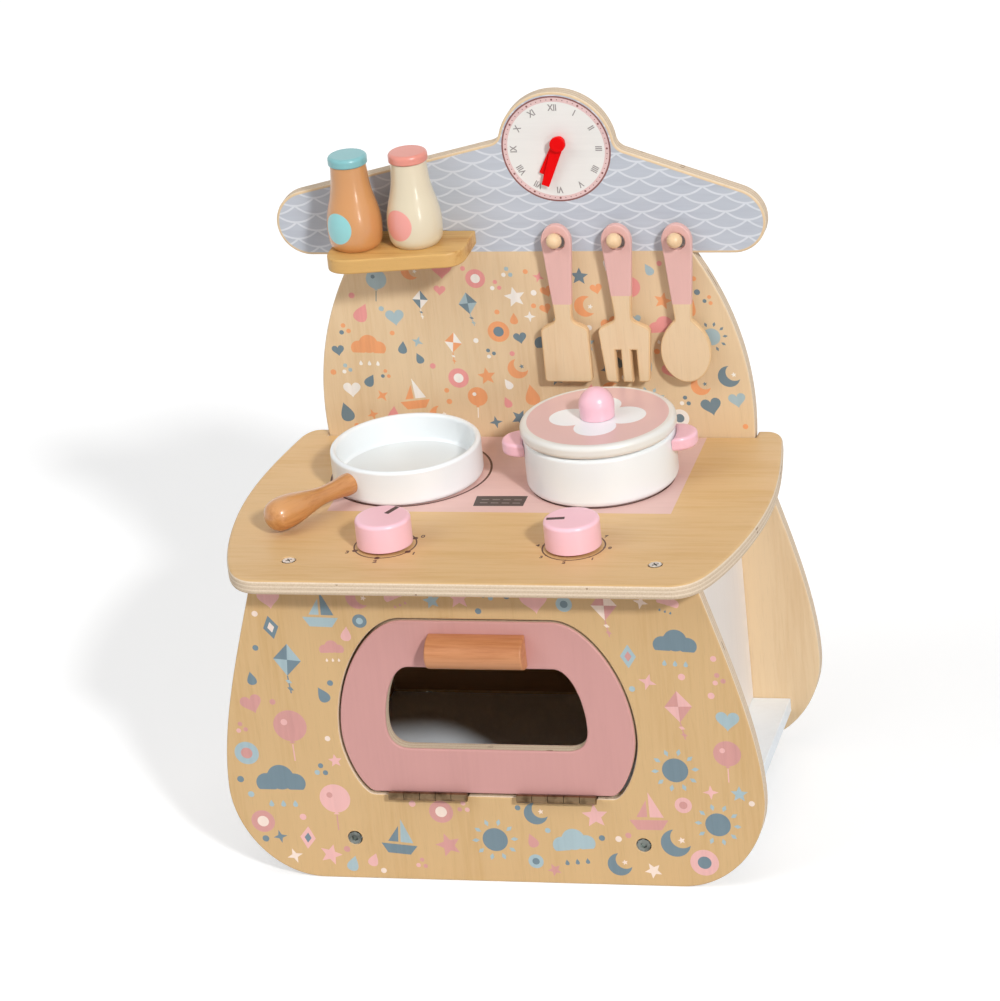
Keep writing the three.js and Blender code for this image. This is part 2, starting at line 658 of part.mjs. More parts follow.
function ovenDoor() {
  const door = scaled(doorSideShares, OPENING_HALF - DOOR_GAP, DOOR_BOTTOM, DOOR_TOP - DOOR_BOTTOM);
  const outline = mirrored(new THREE.Shape(), door);
  const glassless = scaled(windowSideShares, WINDOW_HALF, WINDOW_BOTTOM, WINDOW_HEIGHT);
  outline.holes.push(mirrored(new THREE.Path(), glassless));
  const geometry = standing(outline, PLY, 0, PLY_ROUND);
  const pocket = rod(STRIKE_RADIUS + FIT, STRIKE_THICKNESS + FIT + OVERRUN, SMALL_STEPS);
  const strikePocket = towardsFront(pocket).translate(0, PLY + OVERRUN, STRIKE_Z);
  return piece('oven_door', carve(geometry, [strikePocket, ...holesFor('handle_screw')]), DOOR_PINK);
}

// A half-round bar, its flat back against the door
function doorHandle() {
  const half = BAR_HEIGHT / 2;
  const outline = new THREE.Shape();
  outline.moveTo(half, 0);
  outline.absellipse(0, 0, half, BAR_DEPTH, 0, Math.PI, false);
  const bar = board(outline, BAR_LENGTH, BAR_ROUND);
  const geometry = bar.rotateY(Math.PI / 2).rotateX(Math.PI).translate(-BAR_LENGTH / 2, -FIT, BAR_Z);
  return piece('door_handle', carve(geometry, holesFor('handle_screw')), BEECH);
}

function strikePlate() {
  const plate = towardsFront(rod(STRIKE_RADIUS, STRIKE_THICKNESS, SMALL_STEPS));
  return piece('strike_plate', plate.translate(0, PLY - FIT / 2, STRIKE_Z), STEEL);
}

function doorStop() {
  const front = PLY + FIT;
  const bottom = DOOR_TOP - STOP_LAP;
  const half = STOP_WIDTH / 2;
  const stop = block(-half, half, front, front + STOP_DEPTH, bottom, bottom + STOP_HEIGHT);
  const pocket = towardsBack(rod(MAGNET_RADIUS + FIT, MAGNET_LENGTH + FIT + OVERRUN, SMALL_STEPS));
  return piece('door_stop', carve(stop, [pocket.translate(0, front - OVERRUN, STRIKE_Z)]), BEECH);
}

function catchMagnet() {
  const magnet = towardsBack(rod(MAGNET_RADIUS, MAGNET_LENGTH, SMALL_STEPS));
  return piece('catch_magnet', magnet.translate(0, PLY + FIT, STRIKE_Z), STEEL);
}

// Hinges

// One leaf with its knuckles; up is +1 for the leaf under the door, -1 for the leaf on the front board
function hingeLeaf(name, middle, up) {
  const pitch = HINGE_LENGTH / KNUCKLE_COUNT;
  const first = middle - HINGE_LENGTH / 2;
  const nearZ = HINGE_HEIGHT + (up * FIT) / 2;
  const farZ = nearZ + up * LEAF_THICKNESS;
  const low = Math.min(nearZ, farZ);
  const high = Math.max(nearZ, farZ);
  const plateFront = HINGE_Y + KNUCKLE_RADIUS + RUNNING_FIT;
  const parts = [block(first, first + HINGE_LENGTH, plateFront, LEAF_REACH, low, high)];
  for (let i = up > 0 ? 1 : 0; i < KNUCKLE_COUNT; i += 2) {
    const from = first + i * pitch + KNUCKLE_GAP / 2;
    const to = from + pitch - KNUCKLE_GAP;
    const knuckle = alongX(rod(KNUCKLE_RADIUS, to - from, SMALL_STEPS));
    parts.push(knuckle.translate(from, HINGE_Y, HINGE_HEIGHT));
    parts.push(block(from, to, HINGE_Y, plateFront + LEAF_THICKNESS, low, high));
  }
  const bore = alongX(rod(HINGE_PIN_RADIUS + FIT, HINGE_LENGTH + 2 * OVERRUN, SCREW_STEPS));
  return piece(name, carve(fuse(parts), [bore.translate(first - OVERRUN, HINGE_Y, HINGE_HEIGHT)]), BRASS);
}

function hinge(side, sign) {
  const middle = (sign * HINGE_SPACING) / 2;
  const pin = alongX(rod(HINGE_PIN_RADIUS, HINGE_LENGTH, SCREW_STEPS));
  return [
    hingeLeaf(`hinge_${side}_fixed_leaf`, middle, -1),
    hingeLeaf(`hinge_${side}_door_leaf`, middle, 1),
    piece(`hinge_${side}_pin`, pin.translate(middle - HINGE_LENGTH / 2, HINGE_Y, HINGE_HEIGHT), BRASS),
  ];
}

// Hob knobs

function knobPlaces() {
  return [['left', -1], ['right', 1]].map(([side, sign]) => ({ side, x: (sign * KNOB_SPACING) / 2 }));
}

function knob(side, x) {
  const bore = SPINDLE_RADIUS + FIT;
  const crown = corner(KNOB_RADIUS - KNOB_ROUND, KNOB_HEIGHT - KNOB_ROUND, KNOB_ROUND, 0, 90);
  const profile = [[0, KNOB_BORE_DEPTH], [bore, KNOB_BORE_DEPTH], [bore, 0], [KNOB_RADIUS, 0], ...crown];
  const mesh = piece(`knob_${side}`, turned([...profile, [0, KNOB_HEIGHT]], ROUND_STEPS), KNOB_PINK);
  mesh.position.set(x, KNOB_Y, COUNTER_TOP + KNOB_LIFT);
  return mesh;
}

function knobWasher(side, x) {
  const inner = SPINDLE_RADIUS + RUNNING_FIT;
  const profile = [
    [inner, 0], [WASHER_RADIUS, 0], [WASHER_RADIUS, WASHER_THICKNESS], [inner, WASHER_THICKNESS], [inner, 0],
  ];
  const mesh = piece(`knob_washer_${side}`, turned(profile, SMALL_STEPS), DARK_STEEL);
  mesh.position.set(x, KNOB_Y, COUNTER_TOP + FIT);
  return mesh;
}

function knobSpindle(side, x) {
  const reach = COUNTER_PLY + KNOB_LIFT + KNOB_BORE_DEPTH - FIT;
  const top = SPINDLE_HEAD_HEIGHT + FIT + reach - FIT;
  const profile = [
    [0, 0], [SPINDLE_HEAD_RADIUS, 0], [SPINDLE_HEAD_RADIUS, SPINDLE_HEAD_HEIGHT],
    [SPINDLE_RADIUS, SPINDLE_HEAD_HEIGHT], [SPINDLE_RADIUS, top], [0, top],
  ];
  const mesh = piece(`knob_spindle_${side}`, turned(profile, SCREW_STEPS), STEEL);
  mesh.position.set(x, KNOB_Y, BODY_HEIGHT - FIT - SPINDLE_HEAD_HEIGHT);
  return mesh;
}

// Pan

function cupProfile(radius, height, wall, floor, baseRound, cove) {
  const rim = wall / 2;
  const inner = radius - wall;
  return [
    [0, 0], ...corner(radius - baseRound, baseRound, baseRound, -90, 0),
    ...corner(radius - rim, height - rim, rim, 0, 180),
    ...corner(inner - cove, floor + cove, cove, 0, -90), [0, floor],
  ];
}

function pan() {
  const group = new THREE.Group();
  const section = cupProfile(PAN_RADIUS, PAN_HEIGHT, PAN_WALL, PAN_FLOOR, PAN_BASE_ROUND, PAN_COVE);
  const cup = turned(section, TURN_STEPS);
  const bore = alongX(rod(GRIP_TENON_RADIUS + FIT, PAN_RADIUS + OVERRUN, SCREW_STEPS));
  group.add(piece('pan_body', carve(cup, [bore.translate(0, 0, GRIP_HEIGHT)]), POT_WHITE));
  const shank = gripShares.map(([along, width]) => [width * GRIP_RADIUS, along * GRIP_LENGTH]);
  const neck = shank[0][0];
  const grip = alongX(turned([[0, -PAN_WALL], [neck, -PAN_WALL], ...shank, [0, GRIP_LENGTH]], SMALL_STEPS));
  grip.translate(PAN_RADIUS, 0, GRIP_HEIGHT);
  const shoulder = rod(PAN_RADIUS + FIT, PAN_HEIGHT + 2 * OVERRUN, TURN_STEPS).translate(0, 0, -OVERRUN);
  const tenonStart = PAN_RADIUS - PAN_WALL + FIT;
  const tenon = alongX(rod(GRIP_TENON_RADIUS, PAN_WALL + OVERRUN, SCREW_STEPS));
  tenon.translate(tenonStart, 0, GRIP_HEIGHT);
  group.add(piece('pan_handle', fuse([carve(grip, [shoulder]), tenon]), TURNED_BEECH));
  group.position.set(PAN_X, PAN_Y, COUNTER_TOP + FIT);
  group.rotation.z = THREE.MathUtils.degToRad(PAN_TURN);
  return group;
}

// Pot and lid

function potEar(name, side) {
  const half = EAR_WIDTH / 2;
  const outer = POT_RADIUS + EAR_REACH;
  const outline = new THREE.Shape();
  outline.moveTo(POT_RADIUS - POT_WALL, -half);
  outline.lineTo(outer - half, -half);
  outline.absarc(outer - half, 0, half, -Math.PI / 2, Math.PI / 2, false);
  outline.lineTo(POT_RADIUS - POT_WALL, half);
  const tab = board(outline, EAR_THICKNESS, EAR_ROUND);
  const wall = rod(POT_RADIUS + FIT, EAR_THICKNESS + 2 * OVERRUN, TURN_STEPS).translate(0, 0, -OVERRUN);
  const mesh = piece(name, carve(tab, [wall]), KNOB_PINK);
  mesh.position.z = EAR_HEIGHT;
  mesh.rotation.z = side > 0 ? 0 : Math.PI;
  return mesh;
}

function lid() {
  const group = new THREE.Group();
  const step = POT_RADIUS - POT_WALL - FIT;
  const screwBore = SCREW_SHANK_RADIUS + FIT;
  const crown = corner(LID_RADIUS - LID_ROUND, LID_THICKNESS - LID_ROUND, LID_ROUND, 0, 90);
  const disc = [
    [0, -LID_STEP_DEPTH], [step, -LID_STEP_DEPTH], [step, 0], [LID_RADIUS, 0], ...crown, [0, LID_THICKNESS],
  ];
  const underside = -LID_STEP_DEPTH + SCREW_SINK;
  const size = [SCREW_HEAD_RADIUS, SCREW_HEAD_HEIGHT, SCREW_SHANK_RADIUS, LID_SCREW_LENGTH];
  const hole = screwHole(...size).translate(0, 0, underside);
  group.add(piece('pot_lid', carve(turned(disc, TURN_STEPS), [hole]), POT_WHITE));
  const base = LID_THICKNESS + FIT;
  const boreTop = LID_SCREW_LENGTH + underside - base + FIT;
  const dome = LID_KNOB_RADIUS;
  const knobProfile = [
    [0, boreTop], [screwBore, boreTop], [screwBore, 0], [dome - LID_KNOB_DRAFT, 0],
    ...corner(0, LID_KNOB_HEIGHT - dome, dome, 0, 90, 2 * CORNER_STEPS).slice(0, -1), [0, LID_KNOB_HEIGHT],
  ];
  const knobMesh = piece('lid_knob', turned(knobProfile, ROUND_STEPS), KNOB_PINK);
  knobMesh.position.z = base;
  group.add(knobMesh);
  const lidScrew = piece('lid_screw', screw(...size), STEEL);
  lidScrew.position.z = underside;
  group.add(lidScrew);
  group.position.z = POT_HEIGHT + FIT;
  return group;
}

function pot() {
  const group = new THREE.Group();
  const section = cupProfile(POT_RADIUS, POT_HEIGHT, POT_WALL, POT_FLOOR, POT_BASE_ROUND, POT_COVE);
  const cup = turned(section, TURN_STEPS);
  group.add(piece('pot_body', cup, POT_WHITE));
  group.add(potEar('pot_ear_left', -1), potEar('pot_ear_right', 1), lid());
  group.position.set(POT_X, POT_Y, COUNTER_TOP + FIT);
  group.rotation.z = THREE.MathUtils.degToRad(POT_TURN);
  return group;
}

// Spice shelf and shakers

function spiceShelf() {
  const back = BACK_FACE - FIT;
  const right = SHELF_LEFT + SHELF_WIDTH;
  const frontLeft = BACK_FACE - SHELF_DEPTH_LEFT;
  const frontRight = BACK_FACE - SHELF_DEPTH_RIGHT;
  const outline = new THREE.Shape();
  outline.moveTo(right, back);
  outline.lineTo(SHELF_LEFT, back);
  outline.lineTo(SHELF_LEFT, frontLeft + SHELF_CORNER);
  outline.quadraticCurveTo(SHELF_LEFT, frontLeft, SHELF_LEFT + SHELF_CORNER, frontLeft);
  outline.lineTo(right - SHELF_CORNER, frontRight);
  outline.quadraticCurveTo(right, frontRight, right, frontRight + SHELF_CORNER);
  const geometry = board(outline, PLY, SHELF_ROUND).translate(0, 0, SHELF_TOP - PLY);
  return piece('spice_shelf', carve(geometry, holesFor('shelf_screw')), BIRCH);
}

function shaker(side, index, bodyMaterial, capMaterial) {
  const group = new THREE.Group();
  const height = SHAKER_HEIGHT - SHAKER_CAP_HEIGHT - FIT;
  const spigot = height + SHAKER_SPIGOT_HEIGHT;
  const sides = shakerShares.map(([up, width]) => [width * SHAKER_RADIUS, up * height]);
  const profile = [
    [0, 0], ...sides, [SHAKER_SPIGOT_RADIUS, height], [SHAKER_SPIGOT_RADIUS, spigot], [0, spigot],
  ];
  group.add(piece(`shaker_${side}_body`, turned(profile, ROUND_STEPS), bodyMaterial));
  const hollow = SHAKER_SPIGOT_RADIUS + FIT;
  const hollowTop = SHAKER_SPIGOT_HEIGHT + FIT;
  const capMiddle = SHAKER_CAP_RADIUS - SHAKER_CAP_ROUND;
  const crown = corner(capMiddle, SHAKER_CAP_HEIGHT - SHAKER_CAP_ROUND, SHAKER_CAP_ROUND, 0, 90);
  const foot = corner(SHAKER_CAP_RADIUS - SHAKER_CAP_FOOT, SHAKER_CAP_FOOT, SHAKER_CAP_FOOT, -90, 0, 2);
  const capTop = [0, SHAKER_CAP_HEIGHT];
  const capProfile = [[0, hollowTop], [hollow, hollowTop], [hollow, 0], ...foot, ...crown, capTop];
  const cap = piece(`shaker_${side}_cap`, turned(capProfile, ROUND_STEPS), capMaterial);
  cap.position.z = height + FIT;
  group.add(cap);
  const x = SHELF_LEFT + SHAKER_INSET + index * SHAKER_SPACING;
  group.position.set(x, BACK_FACE - SHAKER_FRONT + index * SHAKER_STEP, SHELF_TOP + FIT);
  return group;
}

// Pegs and utensils

function pegPlaces() {
  return [0, 1, 2].map((index) => PEG_FIRST_X + index * PEG_PITCH);
}

function peg(index, x) {
  const middle = PEG_SEAT + PEG_REACH;
  const meet = THREE.MathUtils.radToDeg(Math.acos(PEG_RADIUS / PEG_BALL_RADIUS));
  const ball = corner(0, middle, PEG_BALL_RADIUS, -meet, 90, 2 * CORNER_STEPS).slice(0, -1);
  const profile = [[0, 0], [PEG_RADIUS, 0], ...ball, [0, middle + PEG_BALL_RADIUS]];
  const geometry = towardsFront(turned(profile, SMALL_STEPS)).translate(x, BACK_FACE + PEG_SEAT, PEG_HEIGHT);
  return piece(`utensil_peg_${index + 1}`, geometry, PALE_WOOD);
}

// Upper end of every utensil's right side: neck, widening grip and round top, about the peg axis
function gripSide(neckHeight) {
  const eye = -EYE_DROP;
  const half = UTENSIL_GRIP_HALF;
  const topRound = UTENSIL_TOP - eye;
  return [
    [UTENSIL_NECK_HALF, neckHeight],
    [half, eye],
    [[half, eye + topRound * roundShare], [half * roundShare, UTENSIL_TOP], [0, UTENSIL_TOP]],
  ];
}

function spatulaOutline(bottom, shoulder) {
  const half = UTENSIL_HEAD_HALF;
  const round = UTENSIL_CORNER;
  const ease = round * (1 - roundShare);
  const neckFoot = shoulder + (half - UTENSIL_NECK_HALF) / 2;
  return mirrored(new THREE.Shape(), [
    [half - round, bottom],
    [[half - ease, bottom], [half, bottom + ease], [half, bottom + round]],
    [half, shoulder - round],
    [[half, shoulder - ease], [half - ease, shoulder + ease / 2], [half - round, shoulder + round / 2]],
    [UTENSIL_NECK_HALF + round, neckFoot - round / 2],
    [
      [UTENSIL_NECK_HALF + ease, neckFoot - ease / 2],
      [UTENSIL_NECK_HALF, neckFoot + ease],
      [UTENSIL_NECK_HALF, neckFoot + round],
    ],
    ...gripSide(neckFoot + 2 * round),
  ]);
}

function forkOutline(bottom, shoulder) {
  const half = UTENSIL_HEAD_HALF + FORK_TAPER / 2;
  const tipHalf = half - FORK_TAPER;
  const round = UTENSIL_CORNER;
  const ease = round * (1 - roundShare);
  const neckFoot = shoulder + (half - UTENSIL_NECK_HALF) / 2;
  const slotInner = FORK_SLOT_SPACING / 2 - FORK_SLOT_WIDTH / 2;
  const slotOuter = slotInner + FORK_SLOT_WIDTH;
  const slotTop = bottom + FORK_SLOT_DEPTH;
  return mirrored(new THREE.Shape(), [
    [slotInner, bottom],
    [slotInner, slotTop],
    [slotOuter, slotTop],
    [slotOuter, bottom],
    [tipHalf - round, bottom],
    [[tipHalf - ease, bottom], [tipHalf, bottom + ease], [tipHalf, bottom + round]],
    [half, shoulder - round],
    [[half, shoulder - ease], [half - ease, shoulder + ease / 2], [half - round, shoulder + round / 2]],
    [UTENSIL_NECK_HALF + round, neckFoot - round / 2],
    [
      [UTENSIL_NECK_HALF + ease, neckFoot - ease / 2],
      [UTENSIL_NECK_HALF, neckFoot + ease],
      [UTENSIL_NECK_HALF, neckFoot + round],
    ],
    ...gripSide(neckFoot + 2 * round),
  ]);
}

function spoonOutline(bottom) {
  const half = UTENSIL_HEAD_HALF + UTENSIL_ROUND;
  const rise = UTENSIL_HEAD_HEIGHT / 2;
  const middle = bottom + rise;
  const round = UTENSIL_CORNER;
  const neckFoot = bottom + UTENSIL_HEAD_HEIGHT - round / 2;
  return mirrored(new THREE.Shape(), [
    [0, bottom],
    [[half * roundShare, bottom], [half, middle - rise * roundShare], [half, middle]],
    [
      [half, middle + rise * roundShare],
      [UTENSIL_NECK_HALF + 2 * round, neckFoot - round],
      [UTENSIL_NECK_HALF, neckFoot + round],
    ],
    ...gripSide(neckFoot + 2 * round),
  ]);
}

function utensil(name, x, outlineOf) {
  const bottom = UTENSIL_TOP - UTENSIL_LENGTH;
  const outline = outlineOf(bottom, bottom + UTENSIL_HEAD_HEIGHT - UTENSIL_CORNER * 2);
  outline.holes.push(roundHole(-EYE_DROP, UTENSIL_EYE_RADIUS));
  const geometry = standing(outline, UTENSIL_THICKNESS, -UTENSIL_THICKNESS, UTENSIL_ROUND, UTENSIL_STEPS);
  const mesh = piece(name, geometry, PALE_WOOD);
  mesh.position.set(x, BACK_FACE - UTENSIL_STANDOFF, PEG_HEIGHT);
  return mesh;
}

// Clock hands

function clockHand(name, length, angle, layer) {
  const outline = new THREE.Shape();
  outline.moveTo(-HAND_TIP_HALF, length);
  outline.lineTo(-HAND_HALF, 0);
  outline.absarc(0, 0, HAND_HALF, Math.PI, 2 * Math.PI, false);
  outline.lineTo(HAND_TIP_HALF, length);
  outline.holes.push(roundHole(0, CLOCK_PIN_RADIUS + RUNNING_FIT));
  const front = BACK_FACE - (layer + 1) * (HAND_THICKNESS + RUNNING_FIT);
  const mesh = piece(name, standing(outline, HAND_THICKNESS, 0, HAND_ROUND, 2 * CORNER_STEPS), CLOCK_RED);
  mesh.position.set(PIVOT_X, front, PIVOT_Z);
  mesh.rotation.y = THREE.MathUtils.degToRad(angle);
  return mesh;
}

function clockPin() {
  const stack = 2 * (HAND_THICKNESS + RUNNING_FIT) + RUNNING_FIT;
  const capFrom = stack + PLY;
  const round = CLOCK_CAP_ROUND;
  const cap = corner(CLOCK_CAP_RADIUS - round, capFrom + CLOCK_CAP_HEIGHT - round, round, 0, 90);
  const profile = [
    [0, 0], [CLOCK_PIN_RADIUS, 0], [CLOCK_PIN_RADIUS, capFrom], [CLOCK_CAP_RADIUS, capFrom],
    ...cap, [0, capFrom + CLOCK_CAP_HEIGHT],
  ];
  const geometry = towardsFront(turned(profile, SMALL_STEPS)).translate(PIVOT_X, BACK_SIDE, PIVOT_Z);
  return piece('clock_pin', geometry, CLOCK_RED);
}

// The whole toy

const kitchen = new THREE.Group();
kitchen.add(frontPanel(), backPanel(), floorPanel(), countertop());
kitchen.add(sidePanel('side_panel_left', -1), sidePanel('side_panel_right', 1));
kitchen.add(ovenDoor(), doorHandle(), strikePlate(), doorStop(), catchMagnet());
kitchen.add(...hinge('left', -1), ...hinge('right', 1));
for (const { side, x } of knobPlaces()) kitchen.add(knob(side, x), knobWasher(side, x), knobSpindle(side, x));
kitchen.add(pan(), pot(), spiceShelf());
kitchen.add(shaker('left', 0, TURNED_BEECH, TURQUOISE), shaker('right', 1, CREAM, SALMON));
pegPlaces().forEach((x, index) => kitchen.add(peg(index, x)));
const [spatulaX, forkX, spoonX] = pegPlaces();
kitchen.add(utensil('spatula', spatulaX, spatulaOutline));
kitchen.add(utensil('fork', forkX, forkOutline));
kitchen.add(utensil('spoon', spoonX, spoonOutline));
kitchen.add(clockHand('clock_hour_hand', HOUR_HAND_LENGTH, HOUR_ANGLE, 0));
kitchen.add(clockHand('clock_minute_hand', MINUTE_HAND_LENGTH, MINUTE_ANGLE, 1), clockPin());
for (const side of ['left', 'right']) {
  kitchen.add(boltPiece(`front_bolt_${side}`), boltPiece(`back_bolt_${side}`));
  kitchen.add(screwPiece(`counter_screw_${side}`, STEEL), screwPiece(`counter_back_screw_${side}`, STEEL));
  kitchen.add(screwPiece(`shelf_screw_${side}`, STEEL), screwPiece(`handle_screw_${side}`, STEEL));
}
kitchen.position.y = (COUNTER_OVERHANG - BACK_SIDE) / 2;

export default kitchen;
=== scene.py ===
"""The looks of a wooden table-top play kitchen: printed plywood boards, painted cookware and knobs, turned
wood, brass hinges. Metres, +Z up, the front faces -Y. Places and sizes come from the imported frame."""

import math
import random

import bmesh
import bpy
from mathutils import Matrix, Vector
from mathutils.geometry import delaunay_2d_cdt

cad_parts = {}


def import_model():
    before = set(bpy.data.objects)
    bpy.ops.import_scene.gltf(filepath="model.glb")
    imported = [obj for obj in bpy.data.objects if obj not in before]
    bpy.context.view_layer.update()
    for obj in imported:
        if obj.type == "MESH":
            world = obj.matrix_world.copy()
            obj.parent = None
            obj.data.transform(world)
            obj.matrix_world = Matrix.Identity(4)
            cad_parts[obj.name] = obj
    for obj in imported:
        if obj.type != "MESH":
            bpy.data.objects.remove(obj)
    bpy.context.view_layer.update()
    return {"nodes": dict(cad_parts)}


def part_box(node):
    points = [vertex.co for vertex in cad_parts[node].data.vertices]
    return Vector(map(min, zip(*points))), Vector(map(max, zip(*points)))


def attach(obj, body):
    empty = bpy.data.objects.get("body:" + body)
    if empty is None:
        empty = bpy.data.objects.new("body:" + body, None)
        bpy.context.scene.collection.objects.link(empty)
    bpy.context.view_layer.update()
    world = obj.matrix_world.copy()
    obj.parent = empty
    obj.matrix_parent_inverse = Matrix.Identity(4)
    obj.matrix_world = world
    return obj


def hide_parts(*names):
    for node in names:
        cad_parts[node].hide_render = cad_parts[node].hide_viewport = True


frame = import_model()

MM = 0.001
FULL_TURN = 2 * math.pi
QUARTER = math.pi / 2
SIDES = ("left", "right")

# Fineness of the meshes
CURVE_STEPS = 26  # along one curve of an outline
ARC_STEP = math.radians(4)
ROUND_STEPS = 4  # round the edge of a board
CORNER_STEPS = 6  # round a corner of a turned piece
TURN_STEPS = 96  # round a turned piece
SMALL_STEPS = 40
SHARP_ANGLE = math.radians(35)
SAME = 0.001 * MM  # points nearer than this are one
SUPPORT = 0.25 * MM  # a loop of faces this far from each edge keeps the flat faces flat
BORE_ROUND_SHARE = 0.35  # of the rounding of the outline
PRINT_RAISE = 0.06 * MM

# Which way a turned piece points
UPRIGHT = Matrix.Identity(3)
TO_FRONT = Matrix.Rotation(QUARTER, 3, "X")
TO_RIGHT = Matrix.Rotation(QUARTER, 3, "Y")


# Outlines in a plane

def bezier(a, b, c, d):
    """Points of a cubic curve, without its first one"""
    points = []
    for i in range(1, CURVE_STEPS + 1):
        t = i / CURVE_STEPS
        s = 1 - t
        weights = (s ** 3, 3 * s * s * t, 3 * s * t * t, t ** 3)
        points.append(tuple(sum(w * p[k] for w, p in zip(weights, (a, b, c, d))) for k in (0, 1)))
    return points


def drawn(start, *steps):
    """A line from a start point: each step is an end point, or the three last points of a curve"""
    points = [start]
    for step in steps:
        points += bezier(points[-1], *step) if isinstance(step[0], tuple) else [step]
    return points


def right_side(shares, half, base, height):
    """The right side of an outline, upwards, from shares of its half width and height"""
    def at(share):
        return (share[0] * half, base + share[1] * height)

    return drawn(*[tuple(map(at, s)) if isinstance(s[0], tuple) else at(s) for s in shares])


def mirrored(right, across=()):
    return [*right, *across, *[(-x, y) for x, y in reversed(right)]]


def polar(x, y, radius, angle):
    return (x + radius * math.cos(angle), y + radius * math.sin(angle))


def arc(x, y, radius, start, end):
    count = max(3, math.ceil(abs(end - start) / ARC_STEP))
    return [polar(x, y, radius, start + (end - start) * i / count) for i in range(count + 1)]


def circle(x, y, radius, steps=SMALL_STEPS):
    return [polar(x, y, radius, FULL_TURN * i / steps) for i in range(steps)]


def rectangle(left, bottom, right, top):
    return [(left, bottom), (right, bottom), (right, top), (left, top)]


def moved(outline, x=0.0, y=0.0, size=1.0, turn=0.0):
    c, s = math.cos(turn) * size, math.sin(turn) * size
    return [(x + c * u - s * v, y + s * u + c * v) for u, v in outline]


def lobes(discs, steps, base=None):
    """Outline of overlapping discs, each its middle and radius, cut off flat at the height of a base"""
    points = []
    for i in range(steps):
        direction = Vector(polar(0, 0, 1, FULL_TURN * i / steps))
        reach = 0
        for x, y, radius in discs:
            along = direction.x * x + direction.y * y
            gap = along ** 2 - (x * x + y * y - radius ** 2)
            if gap > 0:
                reach = max(reach, along + math.sqrt(gap))
        if base and direction.y < 0:
            reach = min(reach, base / direction.y)
        points.append(tuple(direction * reach))
    return points


def sides_of(loop):
    return zip(loop, [*loop[1:], loop[0]])


def winding(loop, left=True):
    """The loop without doubled points, running with its inside on its left, or on its right"""
    clean = [p for i, p in enumerate(loop) if math.dist(p, loop[i - 1]) > SAME]
    area = sum(a[0] * b[1] - b[0] * a[1] for a, b in sides_of(clean))
    return clean if (area > 0) == left else clean[::-1]


def thinned(loop, reach):
    """The loop without the points that stand within reach of a sharp corner"""
    corners = []
    for i, point in enumerate(loop):
        into = Vector(point) - Vector(loop[i - 1])
        out = Vector(loop[(i + 1) % len(loop)]) - Vector(point)
        if into.angle(out) > SHARP_ANGLE:
            corners.append(point)
    return [p for p in loop if p in corners or all(math.dist(p, c) > reach for c in corners)]


def inset(loop, distance):
    """The loop moved to its left by a distance"""
    inner = []
    for i, point in enumerate(loop):
        here = Vector(point)
        into = (here - Vector(loop[i - 1])).normalized()
        out = (Vector(loop[(i + 1) % len(loop)]) - here).normalized()
        normals = Vector((-into.y, into.x)), Vector((-out.y, out.x))
        spread = max(0.2, 1 + normals[0].dot(normals[1]))
        inner.append(tuple(here + (normals[0] + normals[1]) * (distance / spread)))
    return inner


def inside(point, loop):
    x, y = point
    odd = False
    for (ax, ay), (bx, by) in sides_of(loop):
        if (ay > y) != (by > y) and x < ax + (y - ay) * (bx - ax) / (by - ay):
            odd = not odd
    return odd


# Meshes

def linked(name, data):
    made = bpy.data.objects.new(name, data)
    bpy.context.scene.collection.objects.link(made)
    return made


def make_piece(name, mesh_data, finishes, body, node=None):
    """Makes an object of the faces. It moves with a body and may stand for a CAD node."""
    bmesh.ops.recalc_face_normals(mesh_data, faces=mesh_data.faces[:])
    mesh = bpy.data.meshes.new(name)
    mesh_data.to_mesh(mesh)
    mesh_data.free()
    mesh.shade_smooth()
    mesh.set_sharp_from_angle(angle=SHARP_ANGLE)
    for finish in finishes:
        mesh.materials.append(LOOKS[finish])
    made = linked(name, mesh)
    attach(made, body)
    if node:
        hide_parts(node)


def edge_section(thickness, edge_round):
    """Inset and depth of each loop round the edge of a board, from its face to its back"""
    angles = [QUARTER * (1 - i / ROUND_STEPS) for i in range(ROUND_STEPS + 1)]
    corner = [(edge_round * (1 - math.cos(a)), edge_round * (1 - math.sin(a))) for a in angles]
    near = [(edge_round + SUPPORT, 0), *corner, (0, edge_round + SUPPORT)]
    return near + [(by, thickness - depth) for by, depth in reversed(near)]


def fill_cap(mesh_data, ring, flat_loops, depth, place, prints, finishes):
    """Fills one face of a board. Each print is an outline and its finish, and lies over those before it."""
    rim = [vert for loop in ring for vert in loop]
    drawn_loops = [winding(outline(flat_loops[0]) if callable(outline) else outline) for outline, _ in prints]
    coords, shapes = [], []
    for loop in [*flat_loops, *drawn_loops]:
        shapes.append(list(range(len(coords), len(coords) + len(loop))))
        coords += [Vector(p) / MM for p in loop]
    holes = len(flat_loops) - 1
    shapes[1:1 + holes] = [s[::-1] for s in shapes[1:1 + holes]]
    points, _, faces, origins, _, inside_of = delaunay_2d_cdt(coords, [], shapes, 0, 0.0001)
    verts = []
    for point, origin in zip(points, origins):
        known = [i for i in origin if i < len(rim)]
        verts.append(rim[known[0]] if known else mesh_data.verts.new(place(point.x * MM, point.y * MM, depth)))
    for face, shapes_there in zip(faces, inside_of):
        if 0 not in shapes_there or any(0 < s <= holes for s in shapes_there):
            continue
        top = max(shapes_there)
        made = mesh_data.faces.new([verts[i] for i in face])
        if top > holes:
            made.material_index = finishes.index(prints[top - holes - 1][1])
    for vert in [v for v in verts if not v.link_faces]:
        mesh_data.verts.remove(vert)


